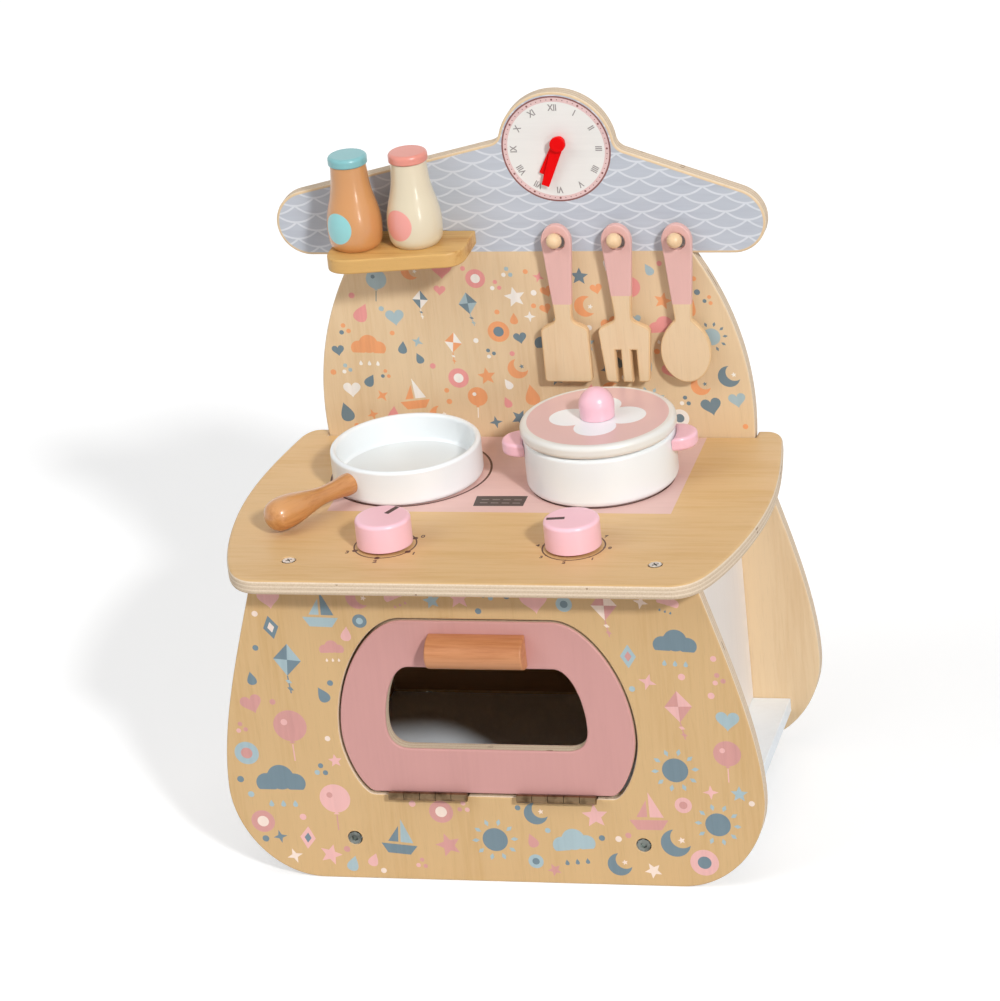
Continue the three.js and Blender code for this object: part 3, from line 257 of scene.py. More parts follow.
def board(name, outline, thickness, edge_round, place, finish, body, node=None, edge=None,
          holes=(), bores=(), prints=(), edge_prints=(), wrap=0):
    """A board with rounded edges. holes are rounded as the outline is, bores less.
    edge is the finish of the edge, where it differs; prints add their own.
    edge_prints are tests of a point in the plane, each with the finish of the edge there.
    wrap counts the strips, inwards from the faces, that look like the faces."""
    finishes = [finish, edge or finish]
    for _, ink in [*prints, *edge_prints]:
        if ink not in finishes:
            finishes.append(ink)
    loops = [winding(outline), *[winding(hole, left=False) for hole in [*holes, *bores]]]
    loops = [thinned(loop, 1.3 * (edge_round + SUPPORT)) for loop in loops]
    shares = [1] * (1 + len(holes)) + [BORE_ROUND_SHARE] * len(bores)
    section = edge_section(thickness, edge_round)
    mesh_data = bmesh.new()
    flats = [[inset(loop, by * share) for loop, share in zip(loops, shares)] for by, _ in section]
    rings = [[[mesh_data.verts.new(place(u, v, depth)) for u, v in loop] for loop in flat]
             for flat, (_, depth) in zip(flats, section)]
    for strip, (near, far) in enumerate(zip(rings, rings[1:])):
        like_face = min(strip, len(rings) - 2 - strip) < wrap
        for loop, a, b in zip(loops, near, far):
            for i in range(len(a)):
                j = (i + 1) % len(a)
                face = mesh_data.faces.new((a[i], a[j], b[j], b[i]))
                face.material_index = 0 if like_face else 1
                middle = (Vector(loop[i]) + Vector(loop[j])) / 2
                for test, ink in edge_prints:
                    if test(middle):
                        face.material_index = finishes.index(ink)
    for side, on_face in ((0, prints), (-1, ())):
        fill_cap(mesh_data, rings[side], flats[side], section[side][1], place, on_face, finishes)
    make_piece(name, mesh_data, finishes, body, node)


def round_corner(radius, height, corner, start, end, steps=CORNER_STEPS):
    """Points of a round corner of a turned outline, between two angles in degrees"""
    return [polar(radius, height, corner, math.radians(start + (end - start) * i / steps)) for i in range(steps + 1)]


def button(radius, height, edge, foot=None):
    """A turned outline with its upper edge rounded, and its lower one where foot is given"""
    start = round_corner(radius - foot, foot, foot, -90, 0) if foot else [(radius, 0)]
    return [(0, 0), *start, *round_corner(radius - edge, height - edge, edge, 0, 90), (0, height)]


def supported(profile):
    """The outline with a point near each end of its long straight lines"""
    points = [profile[0]]
    for a, b in zip(profile, profile[1:]):
        length = math.dist(a, b)
        if length > 5 * SUPPORT:
            share = SUPPORT / length
            points += [(a[0] + (b[0] - a[0]) * t, a[1] + (b[1] - a[1]) * t) for t in (share, 1 - share)]
        points.append(b)
    return points


def through(points, steps=8):
    """A smooth line through points"""
    ends = [points[0], *points, points[-1]]
    line = []
    for near in zip(ends, ends[1:], ends[2:], ends[3:]):
        for t in (i / steps for i in range(steps)):
            line.append(tuple(
                (2 * q + (r - p) * t + (2 * p - 5 * q + 4 * r - s) * t * t + (3 * q - p - 3 * r + s) * t ** 3) / 2
                for p, q, r, s in zip(*near)
            ))
    return [*line, points[-1]]


def turned(name, profile, at, finishes, body, node=None, turn=UPRIGHT, steps=TURN_STEPS, finish_of=None):
    """A turned solid. The profile holds radius and height, and starts and ends on the axis.
    finishes are names parted by spaces, and finish_of picks one for a point by its number."""
    mesh_data = bmesh.new()
    rings = []
    for radius, height in supported(profile):
        count = steps if radius > SAME else 1
        ring = [Vector((*polar(0, 0, radius, FULL_TURN * i / steps), height)) for i in range(count)]
        rings.append([mesh_data.verts.new(Vector(at) + turn @ p) for p in ring])
    for low, high in zip(rings, rings[1:]):
        for i in range(steps):
            j = (i + 1) % steps
            corners = [low[i % len(low)], low[j % len(low)], high[j % len(high)], high[i % len(high)]]
            unique = list(dict.fromkeys(corners))
            if len(unique) > 2:
                face = mesh_data.faces.new(unique)
                if finish_of:
                    face.material_index = finish_of(face.calc_center_median())
    make_piece(name, mesh_data, finishes.split(), body, node)


# Places of the CAD nodes

def middle_of(node):
    """Middle of a node in X and Y at its lowest height, its half width and its height"""
    low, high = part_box(node)
    half = max(high.x - low.x, high.y - low.y) / 2
    return Vector(((low.x + high.x) / 2, (low.y + high.y) / 2, low.z)), half, high.z - low.z


def axis_of(node, axes="xz"):
    low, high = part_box(node)
    middle = (low + high) / 2
    return tuple(getattr(middle, a) for a in axes)


def standing_at(front_y):
    """Places a board's outline in X and Z, its face at front_y and its depth towards the back"""
    return lambda u, v, depth: (u, front_y + depth, v)


def lying_at(top_z):
    return lambda u, v, depth: (u, v, top_z - depth)


# Materials

LOOKS = {}  # the material of each finish


def rgb(code, factor=1.0):
    """A colour as a picture shows it, such as ff8000, as the shader needs it, times a factor"""
    def linear(value):
        share = value / 255
        return share / 12.92 if share <= 0.04045 else ((share + 0.055) / 1.055) ** 2.4

    return (*[linear(value) * factor for value in bytes.fromhex(code)], 1)


class Tree:
    """The nodes of a material or the world"""

    def __init__(self, owner):
        owner.use_nodes = True
        self.tree = owner.node_tree
        self.tree.nodes.clear()

    def add(self, kind, sockets, **settings):
        """Adds a node. A socket takes a value or another node's output."""
        node = self.tree.nodes.new("ShaderNode" + kind)
        for key, value in settings.items():
            setattr(node, key, value)
        for key, value in sockets.items():
            if isinstance(value, bpy.types.NodeSocket):
                self.tree.links.new(value, node.inputs[key])
            else:
                node.inputs[key].default_value = value
        return node

    def calc(self, operation, *values):
        return self.add("Math", dict(enumerate(values)), operation=operation).outputs[0]


class Look(Tree):
    """A material of the pieces, with one shader"""

    def __init__(self, name, **sockets):
        LOOKS[name] = bpy.data.materials.new(name)
        super().__init__(LOOKS[name])
        self.surface = self.add("BsdfPrincipled", {key.replace("_", " "): value for key, value in sockets.items()})
        self.add("OutputMaterial", {"Surface": self.surface.outputs["BSDF"]})
        self.coords = self.add("TexCoord", {}).outputs["Object"]

    def place(self, axis):
        return self.add("SeparateXYZ", {0: self.coords}).outputs["XYZ".index(axis)]

    def mapped(self, **sockets):
        return self.add("Mapping", {"Vector": self.coords, **sockets}).outputs[0]

    def noise(self, scale, detail, coords=None, **sockets):
        """Noise at the surface, or at other coordinates"""
        at = self.coords if coords is None else coords
        sockets = {"Vector": at, "Scale": scale, "Detail": detail, **sockets}
        return self.add("TexNoise", sockets).outputs["Fac"]

    def stretched(self, along, stretch, scale, detail, roughness=0.6, distortion=0.0):
        """Noise drawn out along one axis, as wood grain is"""
        factors = [1 / stretch if axis == along else 1.0 for axis in "XYZ"]
        return self.noise(scale, detail, self.mapped(Scale=factors), Roughness=roughness, Distortion=distortion)

    def grain(self, along):
        """Broad figure and fine streaks of a wood, together, its streaks alone and its pores"""
        figure = self.stretched(along, 9, 26, 2, distortion=0.8)
        streaks = self.stretched(along, 16, 330, 5, 0.65, 0.3)
        pores = self.stretched(along, 22, 1500, 2)
        return self.calc("MULTIPLY_ADD", streaks, 0.45, self.calc("MULTIPLY", figure, 0.55)), streaks, pores

    def ramp(self, value, *stops):
        """Colours by value. Each stop is a place, a colour and maybe a factor of the colour."""
        node = self.add("ValToRGB", {"Fac": value})
        elements = node.color_ramp.elements
        while len(elements) < len(stops):
            elements.new(0.5)
        for element, (place, *colour) in zip(elements, stops):
            element.position = place
            element.color = rgb(*colour)
        return node.outputs["Color"]

    def mix(self, factor, first, second, **settings):
        return self.add("Mix", {0: factor, 6: first, 7: second}, data_type="RGBA", **settings).outputs[2]

    def remap(self, *values):
        """Takes a value, the two ends of its range and what they become"""
        return self.add("MapRange", dict(enumerate(values))).outputs[0]

    def finish(self, colour, rough, height, strength, distance):
        """Gives the surface its colour, roughness and relief"""
        bump = self.add("Bump", {"Height": height, "Strength": strength, "Distance": distance})
        for value, socket in ((colour, "Base Color"), (rough, "Roughness"), (bump.outputs["Normal"], "Normal")):
            self.tree.links.new(value, self.surface.inputs[socket])

    def film(self, colour, roughness):
        """Finishes the surface as paint: a slightly uneven film"""
        film = self.noise(55.0, 0.0)
        self.finish(colour, self.remap(film, 0.1, 0.9, roughness - 0.04, roughness + 0.07), film, 0.15, 0.03 * MM)


def wood(name, pale, dark, along="Z", roughness=0.5, contrast=1.0, coat=0.0, turn=0.0):
    """Bare or oiled wood: drawn-out figure, fine streaks, and pores that darken and roughen it.
    turn swings the grain about the upright axis."""
    look = Look(name, Coat_Weight=coat, Coat_Roughness=0.12, IOR=1.48)
    if turn:
        look.coords = look.mapped(Rotation=(0.0, 0.0, -turn))
    both, streaks, pores = look.grain(along)
    spread = 0.16 / contrast
    colour = look.ramp(both, (0.5 - spread, dark), (0.5, pale, 0.97), (0.5 + spread, pale))
    pits = look.remap(pores, 0.3, 0.42, 0.94, 1.0)
    grey = look.add("CombineColor", {0: pits, 1: pits, 2: pits}).outputs[0]
    colour = look.mix(1.0, colour, grey, blend_type="MULTIPLY")
    look.finish(colour, look.remap(streaks, 0.3, 0.7, roughness + 0.08, roughness - 0.06), pores, 0.15, 0.1 * MM)


def print_ink(name, colour, along="Z", show=0.1):
    """Ink or thin paint on the same wood: the grain shows faintly through it"""
    look = Look(name, IOR=1.46)
    both, streaks, pores = look.grain(along)
    toned = look.ramp(both, (0.36, colour, 1 - show), (0.5, colour), (0.66, colour, 1 + show / 2))
    look.finish(toned, look.remap(streaks, 0.3, 0.7, 0.58, 0.46), pores, 0.1, 0.08 * MM)


def ply_edge(name, axis, start, thickness, layers=7):
    """The cut edge of plywood: layers that lie along and across the grain, thin glue lines and small knots"""
    look = Look(name, IOR=1.45)
    calc = look.calc
    depth = calc("MULTIPLY", calc("SUBTRACT", look.place(axis), start), layers / thickness)
    level = calc("MULTIPLY_ADD", look.noise(45.0, 3.0), 0.35, depth)
    parity = calc("MODULO", calc("FLOOR", level), 2.0)
    cells = look.noise(900.0, 3.0, Roughness=0.7)
    long_grain = look.ramp(cells, (0.35, "d9c5ac"), (0.62, "e3d1bb"))
    end_grain = look.ramp(cells, (0.35, "cab296"), (0.62, "d7c2a8"))
    glue = calc("MULTIPLY", calc("LESS_THAN", calc("FRACT", level), 0.1), 0.3)
    knots = calc("GREATER_THAN", look.noise(85.0, 1.0, look.mapped(Scale=(1.0, 1.0, 0.4))), 0.71)
    mark = calc("MAXIMUM", glue, calc("MULTIPLY", calc("MULTIPLY", knots, parity), 0.6))
    colour = look.mix(mark, look.mix(parity, long_grain, end_grain), rgb("785434"))
    look.finish(colour, look.remap(cells, 0.0, 1.0, 0.62, 0.8), calc("SUBTRACT", cells, mark), 0.3, 0.1 * MM)


def paint(name, colour, roughness=0.34, coat=0.4, variation=0.05, specular=0.5):
    """Sprayed paint over wood: faint mottling, a slightly uneven film and a soft gloss"""
    look = Look(name, Coat_Weight=coat, Coat_Roughness=0.2, IOR=1.5, Specular_IOR_Level=specular)
    cloud = look.noise(24.0, 1.0)
    look.film(look.ramp(cloud, (0.1, colour, 1 - variation), (0.9, colour, 1 + variation / 2)), roughness)


def spotted_paint(name, colour, spot_colour, spot_at, spot_radius):
    """Gloss paint with one round painted spot"""
    look = Look(name, Coat_Weight=0.7, Coat_Roughness=0.16, IOR=1.5)
    cloud = look.noise(30.0, 1.0)
    ground = look.ramp(cloud, (0.1, colour, 0.94), (0.9, colour, 1.02))
    spot = look.ramp(cloud, (0.1, spot_colour, 0.95), (0.9, spot_colour, 1.02))
    away = look.add("VectorMath", {0: look.coords, 1: tuple(spot_at)}, operation="DISTANCE").outputs["Value"]
    mask = look.remap(away, spot_radius - 0.2 * MM, spot_radius + 0.2 * MM, 1.0, 0.0)
    look.film(look.mix(mask, ground, spot), 0.34)


def metal(name, colour, roughness, tarnish):
    """Metal with cloudy tarnish and fine scratches"""
    look = Look(name, Metallic=1.0)
    cloud = look.noise(110.0, 3.0)
    rough = look.remap(cloud, 0.3, 0.7, roughness + 0.12, roughness)
    scratches = look.stretched("X", 30, 2600, 2)
    look.finish(look.ramp(cloud, (0.3, tarnish), (0.55, colour)), rough, scratches, 0.05, 0.05 * MM)


def scale_print(name, left, bottom):
    """Rows of wide, shallow fish scales, pale lines on grey-blue, worked out from the place on the board"""
    width, row = 27.9 * MM, 5.85 * MM
    line, soft = 1.3 * MM, 0.35 * MM
    look = Look(name, IOR=1.46)
    calc = look.calc
    up = calc("DIVIDE", calc("SUBTRACT", look.place("Z"), bottom), row)
    row_number = calc("ADD", calc("FLOOR", up), 100.0)
    rise = calc("FRACT", up)
    across = calc("DIVIDE", calc("SUBTRACT", look.place("X"), left), width)

    def arc_lines(number, height):
        """Lines of the scales of one row, their points at height 1 and their bellies at 0"""
        shift = calc("MULTIPLY", calc("MODULO", number, 2.0), 0.5)
        cell = calc("FRACT", calc("ADD", across, shift))
        side = calc("ABSOLUTE", calc("MULTIPLY_ADD", cell, 2.0, -1.0))
        steep = calc("MULTIPLY", side, 4.2 * row / width)
        gap = calc("ABSOLUTE", calc("SUBTRACT", height, calc("POWER", side, 2.1)))
        away = calc("DIVIDE", calc("MULTIPLY", gap, row), calc("SQRT", calc("MULTIPLY_ADD", steep, steep, 1.0)))
        return look.remap(away, (line - soft) / 2, (line + soft) / 2, 1.0, 0.0)

    above = arc_lines(calc("ADD", row_number, 1.0), calc("SUBTRACT", rise, 1.0))
    mask = calc("MAXIMUM", arc_lines(row_number, rise), above)
    both, streaks, pores = look.grain("X")
    ground = look.ramp(both, (0.36, "b1b6c1"), (0.5, "b8bec8"), (0.66, "bec4ce"))
    lines = look.ramp(streaks, (0.3, "ccd1d8"), (0.6, "d5d9e0"))
    look.finish(look.mix(mask, ground, lines), look.remap(streaks, 0.3, 0.7, 0.56, 0.46), pores, 0.1, 0.08 * MM)


PAN_TURN = math.radians(235.5)

wood("birch_front", "d1ae7d", "c7a26f")
wood("birch_back", "e0c59f", "d6b890")
wood("birch_counter", "dab480", "cfa66e", "X", 0.44)
wood("shelf_wood", "d4a865", "bc8743", "X", 0.42, 1.4)
wood("beech_bar", "c88a5e", "b07147", "X", 0.42, 1.2)
wood("beech_block", "d6a06c", "be8454", "X", 0.55)
wood("turned_beech", "cd9257", "b2743d", "X", 0.36, coat=0.6, turn=PAN_TURN)
wood("peg_wood", "eacaa2", "e0bc92", "Y", 0.4)
wood("utensil_wood", "e2c7a2", "dabb93")
wood("utensil_edge", "debc90", "d0aa7c", "Z", 0.6)
# Bare wood inside the oven, made darker than the bare birch: partly its own tone, partly painted shade
wood("shaded_bare_inside", "a88056", "966e46", "X", 0.6)
print_ink("white_side", "eae3de", show=0.03)
print_ink("white_floor", "ecf2f7", show=0.03)
print_ink("door_pink", "ca9691", show=0.04)
print_ink("utensil_pink", "ddb0a9", show=0.04)
print_ink("hob_pink", "dcb7af", "X", 0.04)
print_ink("clock_white", "e6e4e0", "X", 0.03)
for name, colour in {
    "print_brown": "5c3c32", "display_dark": "504642", "display_line": "928882",
    "clock_ring": "845450", "clock_pink": "debebc", "clock_grey": "948e8c",
}.items():
    print_ink(name, colour, "X")
for name, colour in {
    "slate": "70848e", "pale_blue": "a3b8be", "rose": "ce9690",
    "light_pink": "e5b2ae", "cream": "eedacc", "orange": "e8a06e",
    "pink": "e49894", "white": "f0eae2",
}.items():
    print_ink("ink_" + name, colour)
paint("pot_white", "ecf1f3", coat=0.6, variation=0.015)
# A darker, warmer copy of pot_white for the lid: painted shade on its rim
paint("shaded_lid_white", "e3e1db", coat=0.6, variation=0.015)
# A greyer copy of pot_white for the pan's inner floor: painted shade
paint("pan_floor", "dcdfde", 0.36, variation=0.02)
paint("lid_pink", "deb8b4", coat=0.3)
paint("knob_pink", "f9c6d2", variation=0.03)
paint("ear_pink", "f1bdca", variation=0.03)
paint("mark_dark", "4a3636", 0.5, 0.0)
paint("turquoise", "7eb8bc")
paint("salmon", "e08e7e")
paint("clock_red", "e80206", 0.5, 0.0, specular=0.12)
metal("brass", "866f55", 0.3, "483726")
metal("steel", "f0eee8", 0.42, "d4d0c8")
metal("dark_steel", "848a86", 0.34, "565a56")
# Dark grey for the crosses on the screw heads: painted shade of their slots
metal("slot_shade_dark", "605e5a", 0.5, "403e3a")


# Motifs of the print

def star(points=5, depth=0.45):
    reaches = [1 - (i % 2) * (1 - depth) for i in range(2 * points)]
    return [polar(0, 0, reach, QUARTER + math.pi * i / points) for i, reach in enumerate(reaches)]


def crescent():
    tip = math.radians(52)
    outer = arc(0, 0, 1, tip, FULL_TURN - tip)
    middle = 0.62
    start = math.atan2(-math.sin(tip), math.cos(tip) - middle)
    inner = arc(middle, 0, math.dist((middle, 0), outer[0]), start + FULL_TURN, -start)
    return outer[:-1] + inner[:-1]


def diamond(width=0.62, height=1.0):
    return [(0, -height), (width, 0), (0, height), (-width, 0)]


def stroke(ax, ay, bx, by, width=0.05):
    along = (Vector((bx, by)) - Vector((ax, ay))).normalized() * (width / 2)
    side = Vector((-along.y, along.x))
    ends = [Vector((ax, ay)) + side, Vector((ax, ay)) - side, Vector((bx, by)) - side, Vector((bx, by)) + side]
    return [tuple(p) for p in ends]


DISC = circle(0, 0, 1, 32)
DROP = [(0.95 * math.sin(a) * math.sin(a / 2) ** 1.6, math.cos(a)) for a in (FULL_TURN * i / 32 for i in range(32))]
HEART = [(16 * math.sin(a) ** 3 / 17,
          (13 * math.cos(a) - 5 * math.cos(2 * a) - 2 * math.cos(3 * a) - math.cos(4 * a) + 2) / 17)
         for a in (FULL_TURN * i / 40 for i in range(40))]
CLOUD = lobes([(-0.52, -0.12, 0.4), (0.02, 0.12, 0.5), (0.56, -0.1, 0.38)], 72, -0.38)
# Each motif is drawn about its middle with a reach of 1, as outlines and which of two inks each takes
MOTIFS = {
    "sun": [(moved(DISC, size=0.52), 0)] + [
        (moved(diamond(0.09, 0.16), *polar(0, 0, 0.8, a), turn=a - QUARTER), 1)
        for a in (math.pi * i / 5 for i in range(10))
    ],
    "balloon": [
        (stroke(0, -0.35, 0, -1), 1), (moved(DISC, 0, 0.36, 0.6), 0),
        ([(-0.12, -0.32), (0.12, -0.32), (0, -0.18)], 0), (moved(DISC, -0.2, 0.5, 0.12), 1),
    ],
    "boat": [
        ([(-0.8, -0.4), (0.8, -0.4), (0.5, -0.85), (-0.5, -0.85)], 0),
        ([(0.05, -0.28), (0.62, -0.28), (0.05, 0.85)], 1), ([(-0.05, -0.28), (-0.5, -0.28), (-0.05, 0.5)], 0),
    ],
    "cloud": [(moved(CLOUD, 0, 0.22), 0), *[(moved(DROP, x, -0.72, 0.14), 1) for x in (-0.45, 0.0, 0.45)]],
    "kite": [
        (moved(diamond(0.5, 0.62), 0, 0.34), 0), ([(0, 0.96), (0.5, 0.34), (0, 0.34)], 1),
        ([(0, -0.28), (-0.5, 0.34), (0, 0.34)], 1), (stroke(0, -0.28, 0.12, -0.95), 0),
        (moved(diamond(0.07, 0.13), 0.04, -0.5, turn=1.2), 1), (moved(diamond(0.07, 0.13), 0.1, -0.78, turn=1.2), 0),
    ],
    "ring": [(DISC, 0), (moved(DISC, size=0.48), 1)],
    "star": [(star(), 0)],
    "spark": [(star(4, 0.36), 0)],
    "heart": [(HEART, 0)],
    "moon": [(moved(crescent(), turn=0.5), 0), (moved(star(), 0.45, 0.1, 0.26), 1)],
    "drop": [(DROP, 0)],
    "diamond": [(diamond(), 0), (moved(diamond(), size=0.45), 1)],
    "dots": [(moved(DISC, x, y, 0.32), ink) for x, y, ink in ((0, 0.55, 0), (-0.5, -0.35, 1), (0.5, -0.35, 0))],
    "dot": [(DISC, 0)],
}
TRIES = 400  # to find room for one motif
# Rows of a print plan: the motifs, how many, their reach, how far they lean, and their pairs of inks
TINY_FRONT = "pale_blue/slate light_pink/rose rose/light_pink slate/pale_blue cream/rose"
TINY_SPLASH = "orange/white pink/white white/slate slate/white pale_blue/white orange/slate"
FRONT_PLAN = [
    ("cloud balloon sun boat kite", 15, 17 * MM, 0.1,
     "slate/pale_blue rose/cream light_pink/rose pale_blue/slate rose/light_pink"),
    ("ring moon star heart diamond cloud", 22, 9 * MM, 0.4,
     "light_pink/slate pale_blue/rose rose/cream slate/cream light_pink/rose"),
    ("drop spark dots star ring", 28, 5.5 * MM, 0.5, TINY_FRONT),
    ("dot", 26, 2.1 * MM, 0, TINY_FRONT),
]
SPLASH_PLAN = [
    ("balloon cloud kite sun boat", 13, 12 * MM, 0.15,
     "slate/pale_blue orange/white pale_blue/slate white/slate pink/white"),
    ("star heart moon drop ring", 34, 7 * MM, 0.5, TINY_SPLASH),
    ("spark dots drop heart", 40, 4.6 * MM, 0.6, TINY_SPLASH),
    ("dot", 26, 1.9 * MM, 0, TINY_SPLASH),
]


def scattered(seed, loop, keep_out, plan, gap):
    """Places motifs of falling size inside a loop, clear of each other and of the loops to keep out of"""
    draw = random.Random(seed)
    low = [min(p[k] for p in loop) for k in (0, 1)]
    high = [max(p[k] for p in loop) for k in (0, 1)]
    placed = []
    prints = []
    for motifs, count, size, turn, pairs in plan:
        motifs, pairs = motifs.split(), pairs.split()
        for index in range(count):
            for _ in range(TRIES):
                reach = size * draw.uniform(0.88, 1.12)
                x = draw.uniform(low[0], high[0])
                y = draw.uniform(low[1], high[1])
                if any(math.hypot(x - a, y - b) < reach + r + gap for a, b, r in placed):
                    continue
                rim = circle(x, y, reach + gap / 2, 14)
                if not all(inside(p, loop) for p in rim):
                    continue
                if any(inside(p, away) for away in keep_out for p in [*rim, (x, y)]):
                    continue
                placed.append((x, y, reach))
                inks = pairs[draw.randrange(len(pairs))].split("/")
                angle = draw.uniform(-turn, turn)
                prints += [(moved(outline, x, y, reach, angle), "ink_" + inks[ink])
                           for outline, ink in MOTIFS[motifs[index % len(motifs)]]]
                break
    return prints


# Cabinet. Outlines of the boards by shares of their half width and height, upwards
BODY_SHARES = [(0.667, 0), ((0.863, 0), (1, 0.156), (1, 0.301)), ((1, 0.511), (0.901, 0.753), (0.814, 1))]
COUNTER_SHARES = [
    (0.755, 0),
    ((0.822, 0), (0.862, 0.031), (0.89, 0.0804)),
    ((0.952, 0.189), (1, 0.381), (1, 0.546)),
    ((1, 0.691), (0.97, 0.823), (0.945, 0.93)),
    ((0.937, 0.971), (0.912, 1), (0.87, 1)),
]
SPLASH_SHARES = ((0.844, 0.272), (0.822, 0.64), (0.644, 1))
DOOR_SHARES = [(0.804, 0), ((0.884, 0), (1, 0.195), (1, 0.352)), ((1, 0.68), (0.744, 1), (0.5025, 1))]
WINDOW_SHARES = [(0.776, 0), ((0.925, 0), (1, 0.1), (1, 0.29)), ((1, 0.593), (0.896, 1), (0.716, 1))]
PLY_ROUND = 1.2 * MM
PANEL_ROUND = 0.8 * MM
COUNTER_ROUND = 2.4 * MM
FIT = 0.3 * MM
DOOR_GAP = 1.5 * MM
HINGE_SEAM = 2 * MM
BOLT_HOLE = 4.9 * MM
SCREW_HOLE = 4.5 * MM

counter_low, counter_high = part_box("countertop")
front_low, front_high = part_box("front_panel")
door_low, door_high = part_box("oven_door")
body_height = counter_low.z
body_half = front_high.x
back_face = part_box("back_panel")[0].y
ply = front_high.y - front_low.y


def front_board():
    outline = mirrored(right_side(BODY_SHARES, body_half, 0, front_high.z))
    low = door_low.z - HINGE_SEAM
    opening = mirrored(right_side(DOOR_SHARES, door_high.x + DOOR_GAP, low, door_high.z + DOOR_GAP - low))
    bolts = [axis_of(f"front_bolt_{side}") for side in SIDES]
    kept_clear = [inset(winding(opening, False), 2 * MM), *[circle(*bolt, 1.5 * BOLT_HOLE) for bolt in bolts]]
    ply_edge("ply_front", "Y", front_low.y, ply)
    board(
        "front_board", outline, ply, PLY_ROUND, standing_at(front_low.y), "birch_front", "cabinet", "front_panel",
        "ply_front", holes=[opening], bores=[circle(*bolt, BOLT_HOLE) for bolt in bolts],
        prints=scattered(11, inset(winding(outline), 3 * MM), kept_clear, FRONT_PLAN, gap=2 * MM), wrap=3,
    )


# Hood and clock, above the splashback
SPLASH_HEIGHT = 141.5 * MM
SPLASH_FOOT = 11 * MM  # the print starts this far above the body
HOOD_INSET = 13.4 * MM
HOOD_END_RADIUS = 22.8 * MM
ROOF_HEIGHT = 88.5 * MM
CLOCK_X = 30.5 * MM
CLOCK_HEIGHT = 73.8 * MM
CLOCK_BUMP_RADIUS = 39.5 * MM
CLOCK_FILLET = 9 * MM
CLOCK_RADIUS = 36.8 * MM
CLOCK_LINE = 1.1 * MM
CLOCK_BAND = 2.9 * MM
HOUR_DOT = 0.75 * MM
MINUTE_DOT = 0.36 * MM
PRINT_MARGIN = 1.8 * MM
hood_bottom = body_height + SPLASH_HEIGHT
hood_half = body_half - HOOD_INSET
clock_middle = Vector((CLOCK_X, hood_bottom + CLOCK_HEIGHT))


def roof_line(side):
    """Middle of the rounded end, middle of the fillet beside the clock, and the way out of the roof"""
    apex = Vector((CLOCK_X, hood_bottom + ROOF_HEIGHT))
    end = Vector((side * (hood_half - HOOD_END_RADIUS), hood_bottom + HOOD_END_RADIUS))
    dip = math.asin(HOOD_END_RADIUS / (apex - end).length)
    slope = math.atan2(end.y - apex.y, side * (end.x - apex.x)) + dip
    down = Vector((side * math.cos(slope), math.sin(slope)))
    out = Vector((-side * math.sin(slope), math.cos(slope)))
    lift = apex + out * CLOCK_FILLET - clock_middle
    along = lift.dot(down)
    reach = (CLOCK_BUMP_RADIUS + CLOCK_FILLET) ** 2 - lift.length_squared + along ** 2
    return end, apex + out * CLOCK_FILLET + down * (math.sqrt(reach) - along), out


def swept(centre, radius, start, end, turn=1):
    """An arc from one direction to another, anticlockwise or, where turn is -1, clockwise"""
    start, end = math.atan2(start.y, start.x), math.atan2(end.y, end.x)
    return arc(*centre, radius, start, start + turn * ((end - start) * turn % FULL_TURN))


def hood_line():
    """The edge of the hood, from the underside of its right end round to that of its left end"""
    right_end, right_fillet, right_out = roof_line(1)
    left_end, left_fillet, left_out = roof_line(-1)
    down = Vector((0, -1))
    return [
        *swept(right_end, HOOD_END_RADIUS, down, right_out),
        *swept(right_fillet, CLOCK_FILLET, -right_out, clock_middle - right_fillet, -1),
        *swept(clock_middle, CLOCK_BUMP_RADIUS, right_fillet - clock_middle, left_fillet - clock_middle),
        *swept(left_fillet, CLOCK_FILLET, clock_middle - left_fillet, -left_out, -1),
        *swept(left_end, HOOD_END_RADIUS, left_out, down),
    ]


def clock_prints():
    """White dial in a dark line and a pink band of dots, one a minute and a larger one an hour"""
    band = CLOCK_RADIUS - CLOCK_LINE
    discs = ((CLOCK_RADIUS, "clock_ring"), (band, "clock_pink"), (band - CLOCK_BAND, "clock_white"))
    prints = [(circle(*clock_middle, radius, 120), ink) for radius, ink in discs]
    for minute in range(60):
        at = polar(*clock_middle, band - CLOCK_BAND / 2, FULL_TURN * minute / 60)
        prints.append((circle(*at, MINUTE_DOT if minute % 5 else HOUR_DOT, 10), "clock_ring"))
    return prints


def back_board():
    sides = right_side(BODY_SHARES, body_half, 0, body_height)
    sides += bezier(sides[-1], *[(x * body_half, body_height + y * SPLASH_HEIGHT) for x, y in SPLASH_SHARES])
    hood = hood_line()
    hood_print = inset(winding(hood), PRINT_MARGIN)
    foot = body_height + SPLASH_FOOT
    visible = [p for p in mirrored(sides) if p[1] >= body_height]
    half = visible[0][0]
    splash = inset(winding([(-half, foot), (half, foot), *[p for p in visible if p[1] > foot]]), 2.5 * MM)
    holes = [circle(*axis_of(f"{kind}_{side}"), radius) for kind, radius in (
        ("back_bolt", BOLT_HOLE), ("counter_back_screw", SCREW_HOLE), ("shelf_screw", SCREW_HOLE),
    ) for side in SIDES]
    left_low, left_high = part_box("side_panel_left")
    right_low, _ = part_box("side_panel_right")
    # The back wall inside the oven is printed in the darkened bare wood, as painted shade
    shaded_inside_wall = rectangle(left_high.x, left_low.z + PLY_ROUND, right_low.x, left_high.z - 2 * PLY_ROUND)
    ply_edge("ply_back", "Y", back_face, ply)
    scale_print("hood_scales", -hood_half, hood_bottom)
    board(
        "back_board", mirrored(sides, hood), ply, PLY_ROUND, standing_at(back_face), "birch_back", "cabinet",
        "back_panel", "ply_back", bores=holes, prints=[
            (shaded_inside_wall, "shaded_bare_inside"), *scattered(5, splash, [hood_print], SPLASH_PLAN, gap=2.2 * MM),
            (hood_print, "hood_scales"), *clock_prints(),
        ], wrap=3,
    )


